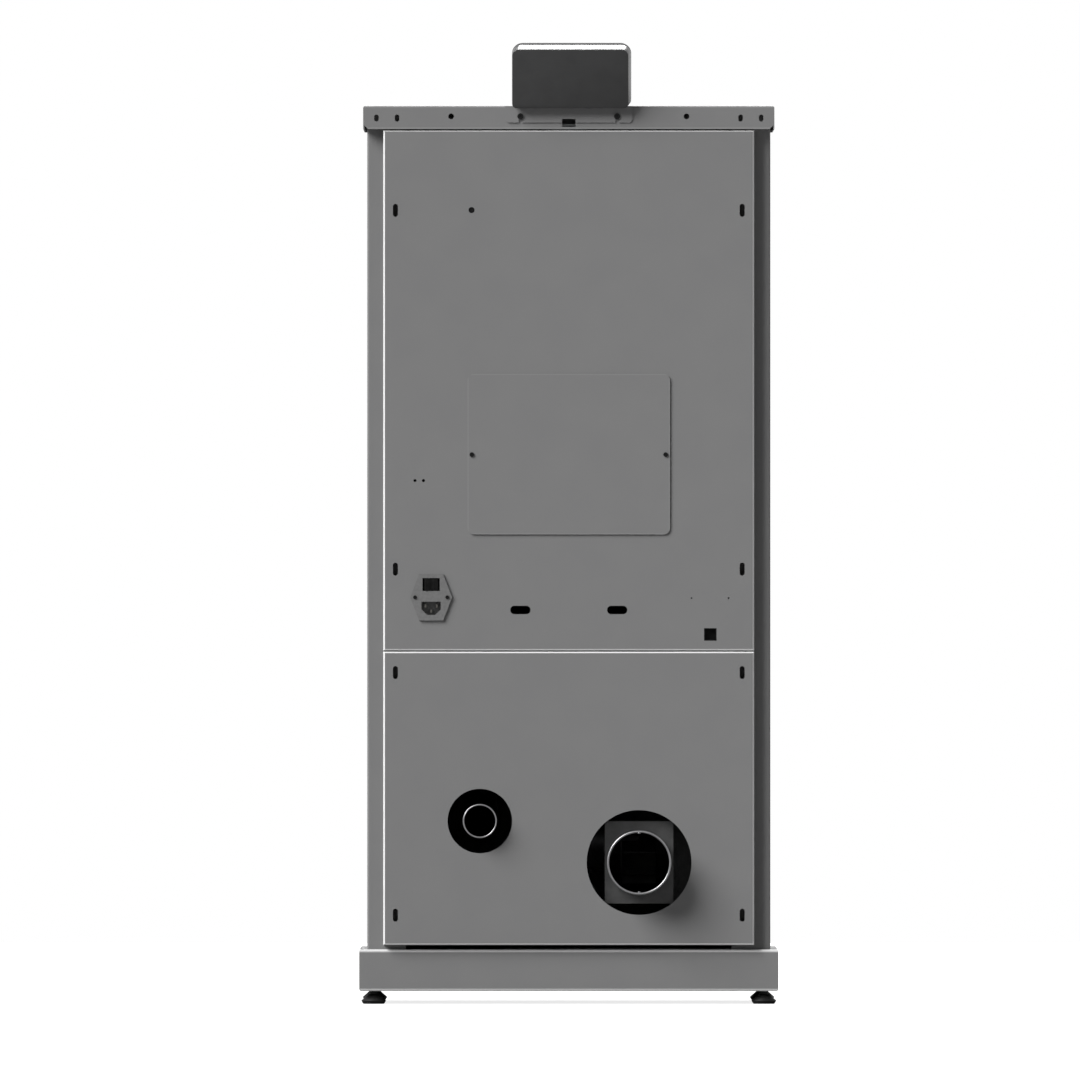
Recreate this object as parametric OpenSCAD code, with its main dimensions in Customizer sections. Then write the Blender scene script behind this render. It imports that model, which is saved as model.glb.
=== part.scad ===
// Pellet stove: a folded-sheet cabinet on a plinth with four levelling feet. The hopper and its auger
// stand at the back, the firebox at the front, and the fans, the smoke outlet and the air intake below.
// The stove faces -Y, its back faces +Y, Z is up and the floor is at z = 0.

/* [Cabinet] */
// Width over the two side panels
body_w = 500; // [494:1:560]
// Depth from the fire door's face to the rear panels' face
body_d = 520; // [514:1:600]
// Height from the plinth's top to the cap's top
cabinet_h = 1045.8; // [1036:0.2:1120]
// Thickness of the cabinet's sheet steel
sheet = 1.5; // [1.2:0.1:2]
// Outer radius of the folds in that sheet
bend_r = 2.5; // [2.2:0.1:4]
// Width of the side panels' rear flanges
side_flange = 48; // [40:1:56]
// Depth of the rear panels' folded lips
panel_lip = 18; // [14:1:20]
// Height of the lower rear panel
lower_panel_h = 363.8; // [340:0.2:380]

/* [Plinth and feet] */
// Height of the plinth
plinth_h = 51.7; // [45:0.1:70]
// How far the plinth stands out at the sides and the front
plinth_out = 10; // [6:1:14]
// How far the plinth's back is set in from the rear panels
plinth_set = 10; // [4:1:14]
// Height of the plinth's underside above the floor
foot_lift = 16; // [15:0.5:20]
// Largest diameter of a levelling foot
foot_d = 31; // [26:1:36]
// Diameter of its threaded stud
foot_stud_d = 6.4; // [6:0.1:8]
// Distance of a foot's centre from the plinth's sides
foot_inset = 18; // [17:1:24]

/* [Top cap] */
// How far the cap stands out past the side panels
cap_out = 5; // [4:1:12]
// How far its rim stands out past the rear panels
cap_rear = 1.5; // [1:0.1:3]
// Height of the cap's rim
cap_rim = 28.5; // [26:0.5:40]
// Distance of the hopper lid from the cabinet's side
lid_side = 30; // [27:1:50]
// Distance from the lid's hinge axis to its front edge
lid_reach = 196; // [186:1:198]
// Thickness of the lid
lid_t = 18; // [16:0.5:20]
// Distance of the lid's hinge axis from the rear panels' face
lid_hinge_d = 52; // [50:1:56]
// Gap around the lid
lid_gap = 1.5; // [1:0.1:2]
// Thickness of the lid's gasket
lid_gasket_t = 4; // [3:0.5:6]

/* [Display] */
// Width of the display's back
display_w = 141; // [120:1:150]
// Height of the display along its slope
display_h = 77; // [60:1:90]
// Thickness of the display
display_t = 26; // [24:1:30]
// How far the front bezel stands out past the back, on one side
display_flare = 7; // [2:0.5:9]
// Angle by which the display leans back from upright
display_lean = 19.5; // [15:0.5:24]
// Distance of its hinge pin from its lower face
display_pin_up = 10; // [9:0.1:10.4]
// Diameter of the hinge pin
display_pin_d = 5; // [4:0.1:6]
// Width of the bracket's plate on the cap's rim
bracket_w = 158; // [150:1:170]
// Thickness of that plate
bracket_t = 1.5; // [1.2:0.1:1.6]

/* [Back of the cabinet] */
// Distance of the rear panels from the cabinet's side
panel_side = 20; // [18:1:25]
// Width of the access cover
cover_w = 251; // [200:1:280]
// Height of the access cover
cover_h = 199; // [150:1:220]
// Thickness of the access cover
cover_t = 2; // [1:0.1:3]
// Width of the upright slots near the panels' corners
slot_w = 6.2; // [4:0.1:8]
// Length of those slots
slot_l = 16; // [12:1:20]
// Distance of the fixing slots from the rear panels' edge
slot_in = 15; // [12:1:25]
// Diameter of the hole round the flue
flue_hole_d = 130; // [124:1:150]
// Diameter of the hole round the air intake
intake_hole_d = 80; // [60:1:90]

/* [Smoke and air] */
// Outer diameter of the flue spigot
flue_d = 80; // [70:1:80]
// Wall of the flue spigot
flue_wall = 2; // [1.5:0.1:3]
// How far the spigot stands out past the rear panels
spigot_reach = 45; // [30:1:60]
// Distance of the flue from the middle of the stove
flue_x = 87.2; // [80:0.2:90]
// Height of the flue's axis above the plinth
flue_up = 107.8; // [104:0.2:112]
// Width of the exhaust housing
exhaust_w = 85; // [82:1:90]
// Height of the exhaust housing's outlet
outlet_h = 102; // [96:1:104]
// Radius of the exhaust impeller
impeller_r = 58; // [45:1:62]
// Outer diameter of the air intake pipe
intake_d = 42.4; // [38:0.2:45]
// Wall of the air intake pipe
intake_wall = 2; // [1.5:0.1:3]
// How far the intake stands out past the rear panels
intake_reach = 16; // [8:1:24]
// Distance of the intake from the middle of the stove
intake_x = 110.3; // [106:0.1:112]
// Height of the intake's axis above the plinth
intake_up = 159.2; // [150:0.2:164]

/* [Fire door and front] */
// Thickness of the door and of the front panels
unit_t = 26; // [24:1:30]
// Gap between the door and the front panels
unit_gap = 4; // [3.8:0.1:6]
// Height of the lower front panel
lower_front_h = 174.3; // [160:0.1:180]
// Height of the ash drawer's front
drawer_front_h = 90; // [86:1:96]
// Height of the fire door
door_h = 552; // [540:1:560]
// Distance of the door's window from the cabinet's side
window_side = 90; // [85:1:120]
// Distance of the window from the door's upper and lower edges
window_edge = 48; // [46:1:70]
// Thickness of the door's glass
glass_t = 4; // [4:0.5:5]
// How far the handle stands out from the door
handle_reach = 38; // [30:1:50]
// Length of the handle's bar
handle_l = 130; // [100:1:160]
// Diameter of the handle's bar
handle_d = 16; // [12:1:18]

/* [Firebox] */
// Distance of the firebox from the cabinet's side
firebox_side = 60; // [55:1:62]
// Height of the firebox
firebox_h = 695; // [690:1:700]
// Depth of the firebox's back from the rear panels' face
firebox_back = 260; // [258:1:264]
// Thickness of the firebox's plate
plate = 3; // [2.5:0.5:4]
// Thickness of the lining slabs
lining_t = 15; // [12:1:16]
// Outer width of the square burn pot
pot_w = 120; // [100:1:130]
// Depth of the burn pot
pot_h = 58; // [45:1:60]
// Wall of the burn pot
pot_wall = 4; // [3:0.5:6]
// Outer diameter of a heat exchanger pipe
pipe_d = 40; // [30:1:44]
// Wall of a heat exchanger pipe
pipe_wall = 2; // [1.5:0.1:3]
// Number of heat exchanger pipes
pipes = 5; // [3:1:5]

/* [Hopper and auger] */
// Depth of the hopper's straight part below the cap
hopper_deep = 230; // [180:1:240]
// Width of the hopper's neck
neck_w = 62; // [56:1:64]
// Thickness of the hopper's sheet
hopper_sheet = 1.5; // [1:0.1:2]
// Rise of the auger from level
auger_rise = 45; // [43:1:47]
// Length of the auger tube
auger_l = 180; // [170:1:185]
// Outer radius of the auger tube
auger_tube_r = 32; // [30:0.5:33]
// Wall of the auger tube
auger_wall = 2; // [1.5:0.1:3]
// Radius of the auger's flight
flight_r = 28; // [22:0.5:28.4]
// Pitch of the auger's flight
flight_pitch = 44; // [34:1:60]
// Radius of the auger's shaft
shaft_r = 8; // [6:0.5:10]

/* [Hidden] */
$fn = 64;
over = 1;            // overrun of every cut
run_fit = 0.06;      // radial clearance of a shaft in its hole
rest_gap = 0.3;      // gap of a soft or loose piece at its seat

panel_gray = "#7a7a7a";
frame_black = "#2c2c2d";
steel = "#a9a9a8";
galvanised = "#9b9d9e";
cast_gray = "#3a3a3b";

// Heights
plinth_top = foot_lift + plinth_h;
cap_top = plinth_top + cabinet_h;
cap_bottom = cap_top - cap_rim;
lower_panel_up = 5.5;          // gap between the plinth and the lower rear panel
panel_seam = 1.3;              // gap between the two rear panels, and under the cap
lower_panel_z = plinth_top + lower_panel_up;
upper_panel_z = lower_panel_z + lower_panel_h + panel_seam;
upper_panel_h = cap_bottom - panel_seam - upper_panel_z;

// Depths are measured forwards from the rear panels' face, which lies at rear_y
rear_y = (body_d + handle_reach - spigot_reach) / 2;
front_y = rear_y - body_d;
stand_off = 2;                 // gap between the front frame and the pieces in front of it
frame_d = body_d - unit_t - stand_off;
frame_y = rear_y - frame_d;
cap_l = body_d + cap_rear + cap_out;
cap_y = rear_y + cap_rear - cap_l / 2;
plinth_w = body_w + 2 * plinth_out;
plinth_l = body_d + plinth_out - plinth_set;
plinth_y = rear_y - plinth_set - plinth_l / 2;
side_in = body_w / 2 - sheet;  // inner face of a side panel
rear_panel_w = body_w - 2 * panel_side;
lid_w = body_w - 2 * lid_side;
window_w = body_w - 2 * window_side;
window_h = door_h - 2 * window_edge;
firebox_w = body_w - 2 * firebox_side;
slot_x = rear_panel_w / 2 - slot_in;

function back(d) = rear_y - d;

module box(lo, hi) {
  translate(lo) cube(hi - lo);
}

// Rectangle about the origin with four round corners
module rounded(w, h, r) {
  square([w - 2 * r, h], center = true);
  square([w, h - 2 * r], center = true);
  for (x = [-1, 1], y = [-1, 1]) translate([x * (w / 2 - r), y * (h / 2 - r)]) circle(r);
}

// Rectangle that stands on its base line, with its two upper corners round
module crowned(w, h, r) {
  translate([-w / 2, 0]) square([w, h - r]);
  translate([r - w / 2, 0]) square([w - 2 * r, h]);
  for (x = [-1, 1]) translate([x * (w / 2 - r), h - r]) circle(r);
}

// Upright slot with round ends
module slot(w, l) {
  square([w, l - w], center = true);
  for (y = [-1, 1]) translate([0, y * (l - w) / 2]) circle(w / 2);
}

// Block on z = 0 whose four upper edges are round
module crowned_block(w, l, h, r) {
  intersection() {
    translate([0, l / 2, 0]) rotate([90, 0, 0]) linear_extrude(l) crowned(w, h, r);
    translate([-w / 2, 0, 0]) rotate([90, 0, 90]) linear_extrude(w) crowned(l, h, r);
  }
}

// Folded tray on z = 0, open below
module tray(w, l, h, r, t) {
  difference() {
    crowned_block(w, l, h, r);
    translate([0, 0, -over]) crowned_block(w - 2 * t, l - 2 * t, h - t + over, r - t);
  }
}

// Draws its 2D children in X and Z, from y towards the front by t
module upright(y, t) {
  translate([0, y, 0]) rotate([90, 0, 0]) linear_extrude(t) children();
}

// Draws its 2D children in Y and Z, from x towards +X by t
module sideways(x, t) {
  translate([x, 0, 0]) rotate([90, 0, 90]) linear_extrude(t) children();
}

module rod_x(x, y, z, r, l) {
  translate([x, y, z]) rotate([0, 90, 0]) cylinder(h = l, r = r);
}

// Rod from y towards the front by l
module rod_y(x, y, z, r, l) {
  translate([x, y, z]) rotate([90, 0, 0]) cylinder(h = l, r = r);
}

// Plinth and feet
plinth_lip = 24;               // width of the plinth's lower return
sleeve_r = 5.3;                // outer radius of a threaded sleeve
sleeve_drop = 0.8;             // how far a sleeve shows under the plinth
foot_base_d = foot_d * 24 / 31;
foot_top_d = 11.7;
foot_bulge_z = 5.2;
foot_top_z = 13.6;
foot_stud_in = 34;             // length of stud inside the sleeve
foot_x = plinth_w / 2 - foot_inset;
foot_ys = [plinth_y - plinth_l / 2 + foot_inset, plinth_y + plinth_l / 2 - foot_inset];

module plinth_block(w, l, h, r) {
  intersection() {
    translate([0, l / 2, h / 2]) rotate([90, 0, 0]) linear_extrude(l) rounded(w, h, r);
    translate([-w / 2, 0, h / 2]) rotate([90, 0, 90]) linear_extrude(w) rounded(l, h, r);
  }
}

module plinth() {
  color(panel_gray) difference() {
    union() {
      translate([0, plinth_y, foot_lift]) difference() {
        plinth_block(plinth_w, plinth_l, plinth_h, bend_r);
        translate([0, 0, sheet])
          plinth_block(plinth_w - 2 * sheet, plinth_l - 2 * sheet, plinth_h - 2 * sheet, bend_r - sheet);
        translate([0, 0, (sheet - over) / 2])
          cube([plinth_w - 2 * plinth_lip, plinth_l - 2 * plinth_lip, sheet + 2 * over], center = true);
      }
      for (x = [-1, 1], y = foot_ys) translate([x * foot_x, y, foot_lift - sleeve_drop])
        cylinder(r = sleeve_r, h = plinth_h + sleeve_drop - sheet / 2);
    }
    for (x = [-1, 1], y = foot_ys) translate([x * foot_x, y, foot_lift - sleeve_drop - over])
      cylinder(d = foot_stud_d + 2 * run_fit, h = plinth_h + sleeve_drop - sheet + over);
  }
}

module foot(x, y) {
  stud_z = foot_lift + foot_stud_in;
  color(frame_black) translate([x, y, 0]) rotate_extrude() polygon([
    [0, 0], [foot_base_d / 2, 0], [foot_d / 2, foot_bulge_z], [foot_top_d / 2, foot_top_z],
    [foot_stud_d / 2, foot_top_z], [foot_stud_d / 2, stud_z], [0, stud_z]
  ]);
}

// Cabinet shell
module folded_corner(w, l, r) {
  square([w - r, l]);
  square([w, l - r]);
  translate([w - r, l - r]) circle(r);
}

module side_panel() {
  l = frame_d - panel_lip;
  color(panel_gray) translate([body_w / 2 - side_flange, frame_y, plinth_top])
    linear_extrude(cap_top - sheet - plinth_top) {
      difference() {
        folded_corner(side_flange, l, bend_r);
        translate([-over, -over])
          folded_corner(side_flange - sheet + over, l - sheet + over, bend_r - sheet);
      }
      translate([0, l - side_flange / 4]) square([sheet, side_flange / 4]);
    }
}

module rear_tray(z, h) {
  translate([0, back(panel_lip), z + h / 2]) rotate([-90, 0, 0])
    tray(rear_panel_w, h, panel_lip, bend_r, sheet);
}

module through_rear_sheet() {
  upright(rear_y + over, sheet + 2 * over) children();
}

cover_up = 243.5;              // height of the cover's middle above the upper panel's edge
cover_r = 8;
cover_lap = 12;                // how far the cover laps over its opening
cover_screw_inset = 5.3;
upper_slot_low = 101;
upper_slot_high = 99.5;
lower_slot_low = 37;
lower_slot_high = 26;
cover_z = upper_panel_z + cover_up;
cover_screw_x = cover_w / 2 - cover_screw_inset;
cover_screw_drop = 0.5;
cover_screw_z = cover_z - cover_screw_drop;
screw_r = 2;                   // M4 screws hold the sheet pieces

inlet_in = 79.3;               // distance of the power inlet from the cabinet's side
inlet_x = body_w / 2 - inlet_in;
inlet_up = 66.1;
inlet_z = upper_panel_z + inlet_up;
inlet_screw_x = 20;            // half the standard screw spacing of 40
inlet_tip_x = 26;
inlet_side_x = 14.9;
inlet_half_h = 28.8;
inlet_body = [26, 50, 42];     // width, height and depth behind the panel
inlet_flange_t = 3;
rocker_up = 15.8;
rocker_size = [21.4, 16];
socket_down = 13.7;
socket_size = [24, 16.4];
socket_cut = 7;                // legs of the socket's two cut corners
socket_deep = 17;
data_in = 74.5;                // distance of the data socket from the cabinet's side
data_x = data_in - body_w / 2;
data_up = 20;
data_w = 15.5;
cable_slot = [25, 10.4];
cable_slot_x = 60;
cable_slot_up = 50.3;
probe_at = [120.6, 99.2];      // from the middle and below the panel's upper edge
probe_d = 7.5;
twin_ins = [69.9, 59.3];
twin_xs = [for (d = twin_ins) body_w / 2 - d];
twin_up = 210.8;
twin_d = 3.7;
tiny_ins = [97.8, 51.9];
tiny_xs = [for (d = tiny_ins) d - body_w / 2];
tiny_up = 65.1;
tiny_d = 2.2;

module rear_panel_upper() {
  color(panel_gray) difference() {
    rear_tray(upper_panel_z, upper_panel_h);
    through_rear_sheet() {
      for (x = [-1, 1], z = [upper_slot_low, upper_panel_h - upper_slot_high])
        translate([x * slot_x, upper_panel_z + z]) slot(slot_w, slot_l);
      translate([0, cover_z]) rounded(cover_w - 2 * cover_lap, cover_h - 2 * cover_lap, cover_r);
      for (x = [-1, 1]) translate([x * cover_screw_x, cover_screw_z]) circle(screw_r + run_fit);
      for (x = [-1, 1]) translate([inlet_x + x * inlet_screw_x, inlet_z]) circle(screw_r + run_fit);
      translate([inlet_x, inlet_z])
        square([inlet_body.x + rest_gap, inlet_body.y + rest_gap], center = true);
      translate([data_x, upper_panel_z + data_up]) square(data_w, center = true);
      for (x = [-1, 1]) translate([x * cable_slot_x, upper_panel_z + cable_slot_up])
        rotate(90) slot(cable_slot.y, cable_slot.x);
      translate([probe_at.x, upper_panel_z + upper_panel_h - probe_at.y]) circle(d = probe_d);
      for (x = twin_xs) translate([x, upper_panel_z + twin_up]) circle(d = twin_d);
      for (x = tiny_xs) translate([x, upper_panel_z + tiny_up]) circle(d = tiny_d);
    }
  }
}

flue_z = plinth_top + flue_up;
intake_z = plinth_top + intake_up;

module rear_panel_lower() {
  color(panel_gray) difference() {
    rear_tray(lower_panel_z, lower_panel_h);
    through_rear_sheet() {
      for (x = [-1, 1], z = [lower_slot_low, lower_panel_h - lower_slot_high])
        translate([x * slot_x, lower_panel_z + z]) slot(slot_w, slot_l);
      translate([-flue_x, flue_z]) circle(d = flue_hole_d);
      translate([intake_x, intake_z]) circle(d = intake_hole_d);
    }
  }
}

module access_cover() {
  color(panel_gray) upright(rear_y + cover_t, cover_t) difference() {
    translate([0, cover_z]) rounded(cover_w, cover_h, cover_r);
    for (x = [-1, 1]) translate([x * cover_screw_x, cover_screw_z]) circle(screw_r + run_fit);
  }
}

// A socket screw from y inwards, with a low round head outside
module screw(x, y, z, head_r, grip) {
  head_h = head_r * 0.5;
  socket_r = head_r * 0.5;
  difference() {
    union() {
      rod_y(x, y + head_h, z, head_r, head_h);
      rod_y(x, y + head_h / 2, z, screw_r, grip + head_h / 2);
    }
    translate([x, y + head_h + over, z]) rotate([90, 0, 0])
      cylinder(r = socket_r, h = over + head_h / 2, $fn = 6);
  }
}

cover_head_r = 2.9;
bracket_head_r = 3.7;
inlet_head_r = 2.3;
screw_grip = 8;

module panel_screws() {
  color(frame_black) {
    for (x = [-1, 1]) screw(x * cover_screw_x, rear_y + cover_t, cover_screw_z, cover_head_r, screw_grip);
    for (x = [-1, 1]) screw(x * bracket_screw_x, rim_y + bracket_t, rim_hole_z, bracket_head_r, screw_grip);
    for (x = [-1, 1])
      screw(inlet_x + x * inlet_screw_x, rear_y + inlet_flange_t, inlet_z, inlet_head_r, screw_grip);
  }
}

// Top cap
rim_y = rear_y + cap_rear;     // rear face of the cap's rim
rim_slot = [5.6, 8.7];
rim_slot_ins = [42, 16.5];     // distances of the rim's slots from its ends
rim_slot_xs = [for (d = rim_slot_ins) body_w / 2 + cap_out - d];
rim_slot_down = 14.9;
rim_hole_d = 7;
rim_hole_in = 104;
rim_hole_x = body_w / 2 - rim_hole_in;
bracket_screw_x = 60;
rim_hole_down = 12.8;
rim_hole_z = cap_top - rim_hole_down;
rim_notch = [16.7, 10];
rim_notch_down = 21;
rim_corner = 4.5;              // legs of the rim's cut lower corners
lid_y = back(lid_hinge_d);
lid_axis_z = cap_top - lid_t / 2;
hopper_top = cap_top - lid_t - lid_gasket_t - rest_gap;
lid_hole_w = lid_w + 2 * lid_gap;
lid_hole_y = [lid_y - lid_reach - lid_gap, lid_y + lid_t / 2 + lid_gap];

module cap_holes() {
  for (x = [-1, 1], s = rim_slot_xs) translate([x * s, cap_top - rim_slot_down])
    slot(rim_slot.x, rim_slot.y);
  for (x = [-1, 1]) translate([x * rim_hole_x, rim_hole_z]) circle(d = rim_hole_d);
  for (x = [-1, 1]) translate([x * bracket_screw_x, rim_hole_z]) circle(screw_r + run_fit);
  translate([0, cap_top - rim_notch_down]) square(rim_notch, center = true);
}

lid_pin_r = 3;
lid_pin_in = 20;

module top_cap() {
  color(panel_gray) difference() {
    union() {
      translate([0, cap_y, cap_bottom]) tray(body_w + 2 * cap_out, cap_l, cap_rim, bend_r, sheet);
      box([-lid_hole_w / 2 - sheet, lid_hole_y[0] - sheet, hopper_top],
        [lid_hole_w / 2 + sheet, lid_hole_y[1] + sheet, cap_top - sheet / 2]);
    }
    box([-lid_hole_w / 2, lid_hole_y[0], hopper_top - over],
      [lid_hole_w / 2, lid_hole_y[1], cap_top + over]);
    upright(rim_y + over, sheet + 2 * over) cap_holes();
    for (x = [-1, 1]) upright(rim_y + over, sheet + over)
      translate([x * (body_w / 2 + cap_out - sheet), cap_bottom])
      polygon([[0, -over], [-x * rim_corner, -over], [-x * rim_corner, 0], [0, rim_corner]]);
    rod_x(-lid_hole_w / 2 - sheet - over, lid_y, lid_axis_z, lid_pin_r + run_fit,
      lid_hole_w + 2 * sheet + 2 * over);
  }
}

lid_rim = 16;                  // width of the lid's box-folded rim
lid_notch = [90, 10];          // finger notch in the lid's front edge
lid_notch_r = 4;

module hopper_lid() {
  color(panel_gray) difference() {
    intersection() {
      sideways(-lid_w / 2, lid_w) translate([lid_y, lid_axis_z]) {
        circle(lid_t / 2);
        translate([-lid_reach, -lid_t / 2]) square([lid_reach, lid_t - bend_r]);
        translate([bend_r - lid_reach, -lid_t / 2]) square([lid_reach - bend_r, lid_t]);
        translate([bend_r - lid_reach, lid_t / 2 - bend_r]) circle(bend_r);
      }
      upright(lid_y + lid_t, lid_reach + 2 * lid_t) translate([0, cap_top - lid_t])
        crowned(lid_w, lid_t, bend_r);
    }
    box([lid_rim - lid_w / 2, lid_y - lid_reach + lid_rim, cap_top - lid_t - over],
      [lid_w / 2 - lid_rim, lid_y - lid_rim, cap_top - sheet]);
    translate([0, lid_y - lid_reach, cap_top - lid_t - over]) linear_extrude(lid_t + 2 * over)
      rounded(lid_notch.x, 2 * lid_notch.y, lid_notch_r);
    for (x = [-1, 1]) rod_x(x * (lid_w / 2 + over) - (x > 0 ? lid_pin_in + over : 0), lid_y, lid_axis_z,
      lid_pin_r + run_fit, lid_pin_in + over);
  }
}

gasket_w = 9;

module lid_gasket() {
  z = [cap_top - lid_t - lid_gasket_t, cap_top - lid_t];
  lo = [lid_rim - gasket_w - lid_w / 2, lid_y - lid_reach + lid_rim - gasket_w];
  hi = [-lo.x, lid_y - lid_rim + gasket_w];
  color(cast_gray) difference() {
    box([lo.x, lo.y, z[0]], [hi.x, hi.y, z[1]]);
    box([lo.x + gasket_w, lo.y + gasket_w, z[0] - over], [hi.x - gasket_w, hi.y - gasket_w, z[1] + over]);
  }
}

// Display: local Y points out of its back and local Z up its slope, from the hinge pin
display_pin_back = 5;          // pin's distance behind the cap's rim
display_pin_y = rim_y + display_pin_back;
display_foot_down = 3.1;
display_foot_z = cap_top - display_foot_down;  // lowest edge of the display
display_half_t = display_t / 2;
display_pin_z = display_foot_z + display_pin_up * cos(display_lean) + display_half_t * sin(display_lean);
display_r = 8;
display_bezel_r = 14;
display_bezel_t = 4;
screen_t = 3;
screen_inset = 5;
ear_x = 45;
ear_w = 6;
ear_r = 5;
ear_gap = 1;                   // gap beside an ear in its slot
ear_slot = [16, 17];           // size of the slot along the thickness and up from the lower face
display_cavity_up = 22;
display_shell = 2.5;
bracket_drop = 20.5;
bracket_r = 5;

module on_display() {
  translate([0, display_pin_y, display_pin_z]) rotate([-display_lean, 0, 0]) children();
}

module display_bracket() {
  color(panel_gray) difference() {
    union() {
      upright(rim_y + bracket_t, bracket_t) difference() {
        translate([-bracket_w / 2, cap_top - bracket_drop]) {
          translate([0, bracket_r]) square([bracket_w, bracket_drop - bracket_r]);
          translate([bracket_r, 0]) square([bracket_w - 2 * bracket_r, bracket_drop]);
          for (x = [bracket_r, bracket_w - bracket_r]) translate([x, bracket_r]) circle(bracket_r);
        }
        translate([0, cap_top - rim_notch_down]) square(rim_notch, center = true);
        for (x = [-1, 1]) translate([x * bracket_screw_x, 0]) {
          translate([0, rim_hole_z]) circle(screw_r + run_fit);
          translate([-screw_r - run_fit, cap_top - bracket_drop - over])
            square([2 * (screw_r + run_fit), bracket_drop + over - rim_hole_down]);
        }
      }
      for (x = [-1, 1]) sideways(x * ear_x - ear_w / 2, ear_w) {
        translate([display_pin_y, display_pin_z]) circle(ear_r);
        translate([rim_y, display_foot_z]) square([display_pin_back, display_pin_z - display_foot_z]);
      }
    }
    rod_x(-bracket_w, display_pin_y, display_pin_z, display_pin_d / 2 + run_fit, 2 * bracket_w);
  }
}

display_pin_l = 2 * ear_x + 3 * ear_w;

module hinge_pins() {
  l = sheet + lid_gap + lid_pin_in;
  color(steel) {
    rod_x(-display_pin_l / 2, display_pin_y, display_pin_z, display_pin_d / 2, display_pin_l);
    for (x = [-lid_hole_w / 2 - sheet, lid_hole_w / 2 + sheet - l])
      rod_x(x, lid_y, lid_axis_z, lid_pin_r, l);
  }
}

module display_slab(w, h, r, x, y, t) {
  translate([x, y, display_h / 2 - display_pin_up]) rotate([90, 0, 0]) linear_extrude(t)
    rounded(w, h, r, $fn = 32);
}

module display_housing() {
  t = display_half_t;
  bezel_w = display_w + display_flare;
  color("#3d3d3e") on_display() difference() {
    hull() {
      display_slab(display_w, display_h, display_r, 0, t, display_bezel_t);
      display_slab(bezel_w, display_h, display_bezel_r, -display_flare / 2, display_bezel_t - t,
        display_bezel_t);
    }
    box([-display_w / 2 + display_r, display_bezel_t - t, display_cavity_up - display_pin_up],
      [display_w / 2 - display_r, t - display_shell, display_h - display_pin_up - display_r]);
    display_slab(bezel_w - 2 * screen_inset, display_h - 2 * screen_inset, display_bezel_r - screen_inset,
      -display_flare / 2, screen_t - t, screen_t + over);
    for (x = [-1, 1]) translate([x * ear_x, 0, ear_slot.y / 2 - display_pin_up - over])
      cube([ear_w + 2 * ear_gap, ear_slot.x, ear_slot.y + 2 * over], center = true);
    rod_x(-display_pin_l / 2 - rest_gap, 0, 0, display_pin_d / 2 + run_fit, display_pin_l + 2 * rest_gap);
  }
}

module display_screen() {
  color("#101012") on_display()
    display_slab(display_w + display_flare - 2 * screen_inset, display_h - 2 * screen_inset,
      display_bezel_r - screen_inset, -display_flare / 2, screen_t - display_half_t, screen_t);
}

// Fuel: the auger runs up to the front at auger_rise, from auger_at
auger_d = 100;                 // depth of the auger tube's lower end
auger_below = 493.5;           // its distance below the cap's top
auger_at = [back(auger_d), cap_top - auger_below];
neck_d = 131;                  // depth of the neck's middle
taper_deep = 130;              // height of the hopper's tapered part
hopper_side = 24;              // distance of the hopper's side walls from the lid's edge
hopper_back_d = 68;
hopper_front_d = 244;

module on_auger() {
  translate([0, auger_at.x, auger_at.y]) rotate([90 - auger_rise, 0, 0]) children();
}

function hopper_profile(lo, hi, mid, half, top, z1, z2, z3) =
  [[lo, top], [lo, z1], [mid - half, z2], [mid - half, z3], [mid + half, z3], [mid + half, z2], [hi, z1],
    [hi, top]];

module hopper_shape(t, top, z3) {
  x = lid_w / 2 - hopper_side - t;
  z1 = cap_top - hopper_deep;
  z2 = z1 - taper_deep;
  half = neck_w / 2 - t;
  intersection() {
    upright(rear_y, frame_d) polygon(hopper_profile(-x, x, 0, half, top, z1, z2, z3));
    sideways(-body_w / 2, body_w)
      polygon(hopper_profile(back(hopper_front_d) + t, back(hopper_back_d) - t, back(neck_d), half, top, z1,
        z2, z3));
  }
}

module hopper_shell() {
  neck_end = auger_at.y;
  difference() {
    union() {
      hopper_shape(0, hopper_top - sheet / 2, neck_end);
      box([-lid_hole_w / 2 - sheet, lid_hole_y[0] - sheet, hopper_top - sheet],
        [lid_hole_w / 2 + sheet, lid_hole_y[1] + sheet, hopper_top]);
    }
    hopper_shape(hopper_sheet, hopper_top + over, neck_end - over);
    on_auger() cylinder(r = auger_tube_r + run_fit, h = auger_l);
    on_auger() translate([-body_w / 2, -auger_l, -auger_l]) cube([body_w, auger_l, 3 * auger_l]);
  }
}

// The straight bin and the throat below it are welded together at the bin's lower edge
module hopper() {
  color(galvanised) intersection() {
    hopper_shell();
    box([-body_w, front_y, cap_top - hopper_deep], [body_w, rear_y, cap_top]);
  }
}

module hopper_throat() {
  color(galvanised) intersection() {
    hopper_shell();
    box([-body_w, front_y, 0], [body_w, rear_y, cap_top - hopper_deep]);
  }
}

guard_bar = 4;
guard_bars = 7;
guard_strip = [3, 8];          // thickness and height of the strips that carry the bars
guard_down = 110;              // depth of the finger guard below the cap

module hopper_guard() {
  x = lid_w / 2 - hopper_side - hopper_sheet - rest_gap;
  y0 = back(hopper_front_d) + hopper_sheet + rest_gap;
  y1 = back(hopper_back_d) - hopper_sheet - rest_gap;
  z = cap_top - guard_down;
  pitch = (y1 - y0) / (guard_bars + 1);
  color(steel) {
    for (i = [1 : guard_bars]) rod_x(-x, y0 + i * pitch, z, guard_bar / 2, 2 * x);
    for (s = [-1, 0, 1]) translate([s * (x - 2 * guard_bar), (y0 + y1) / 2, z])
      cube([guard_strip.x, y1 - y0, guard_strip.y], center = true);
  }
}

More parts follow.
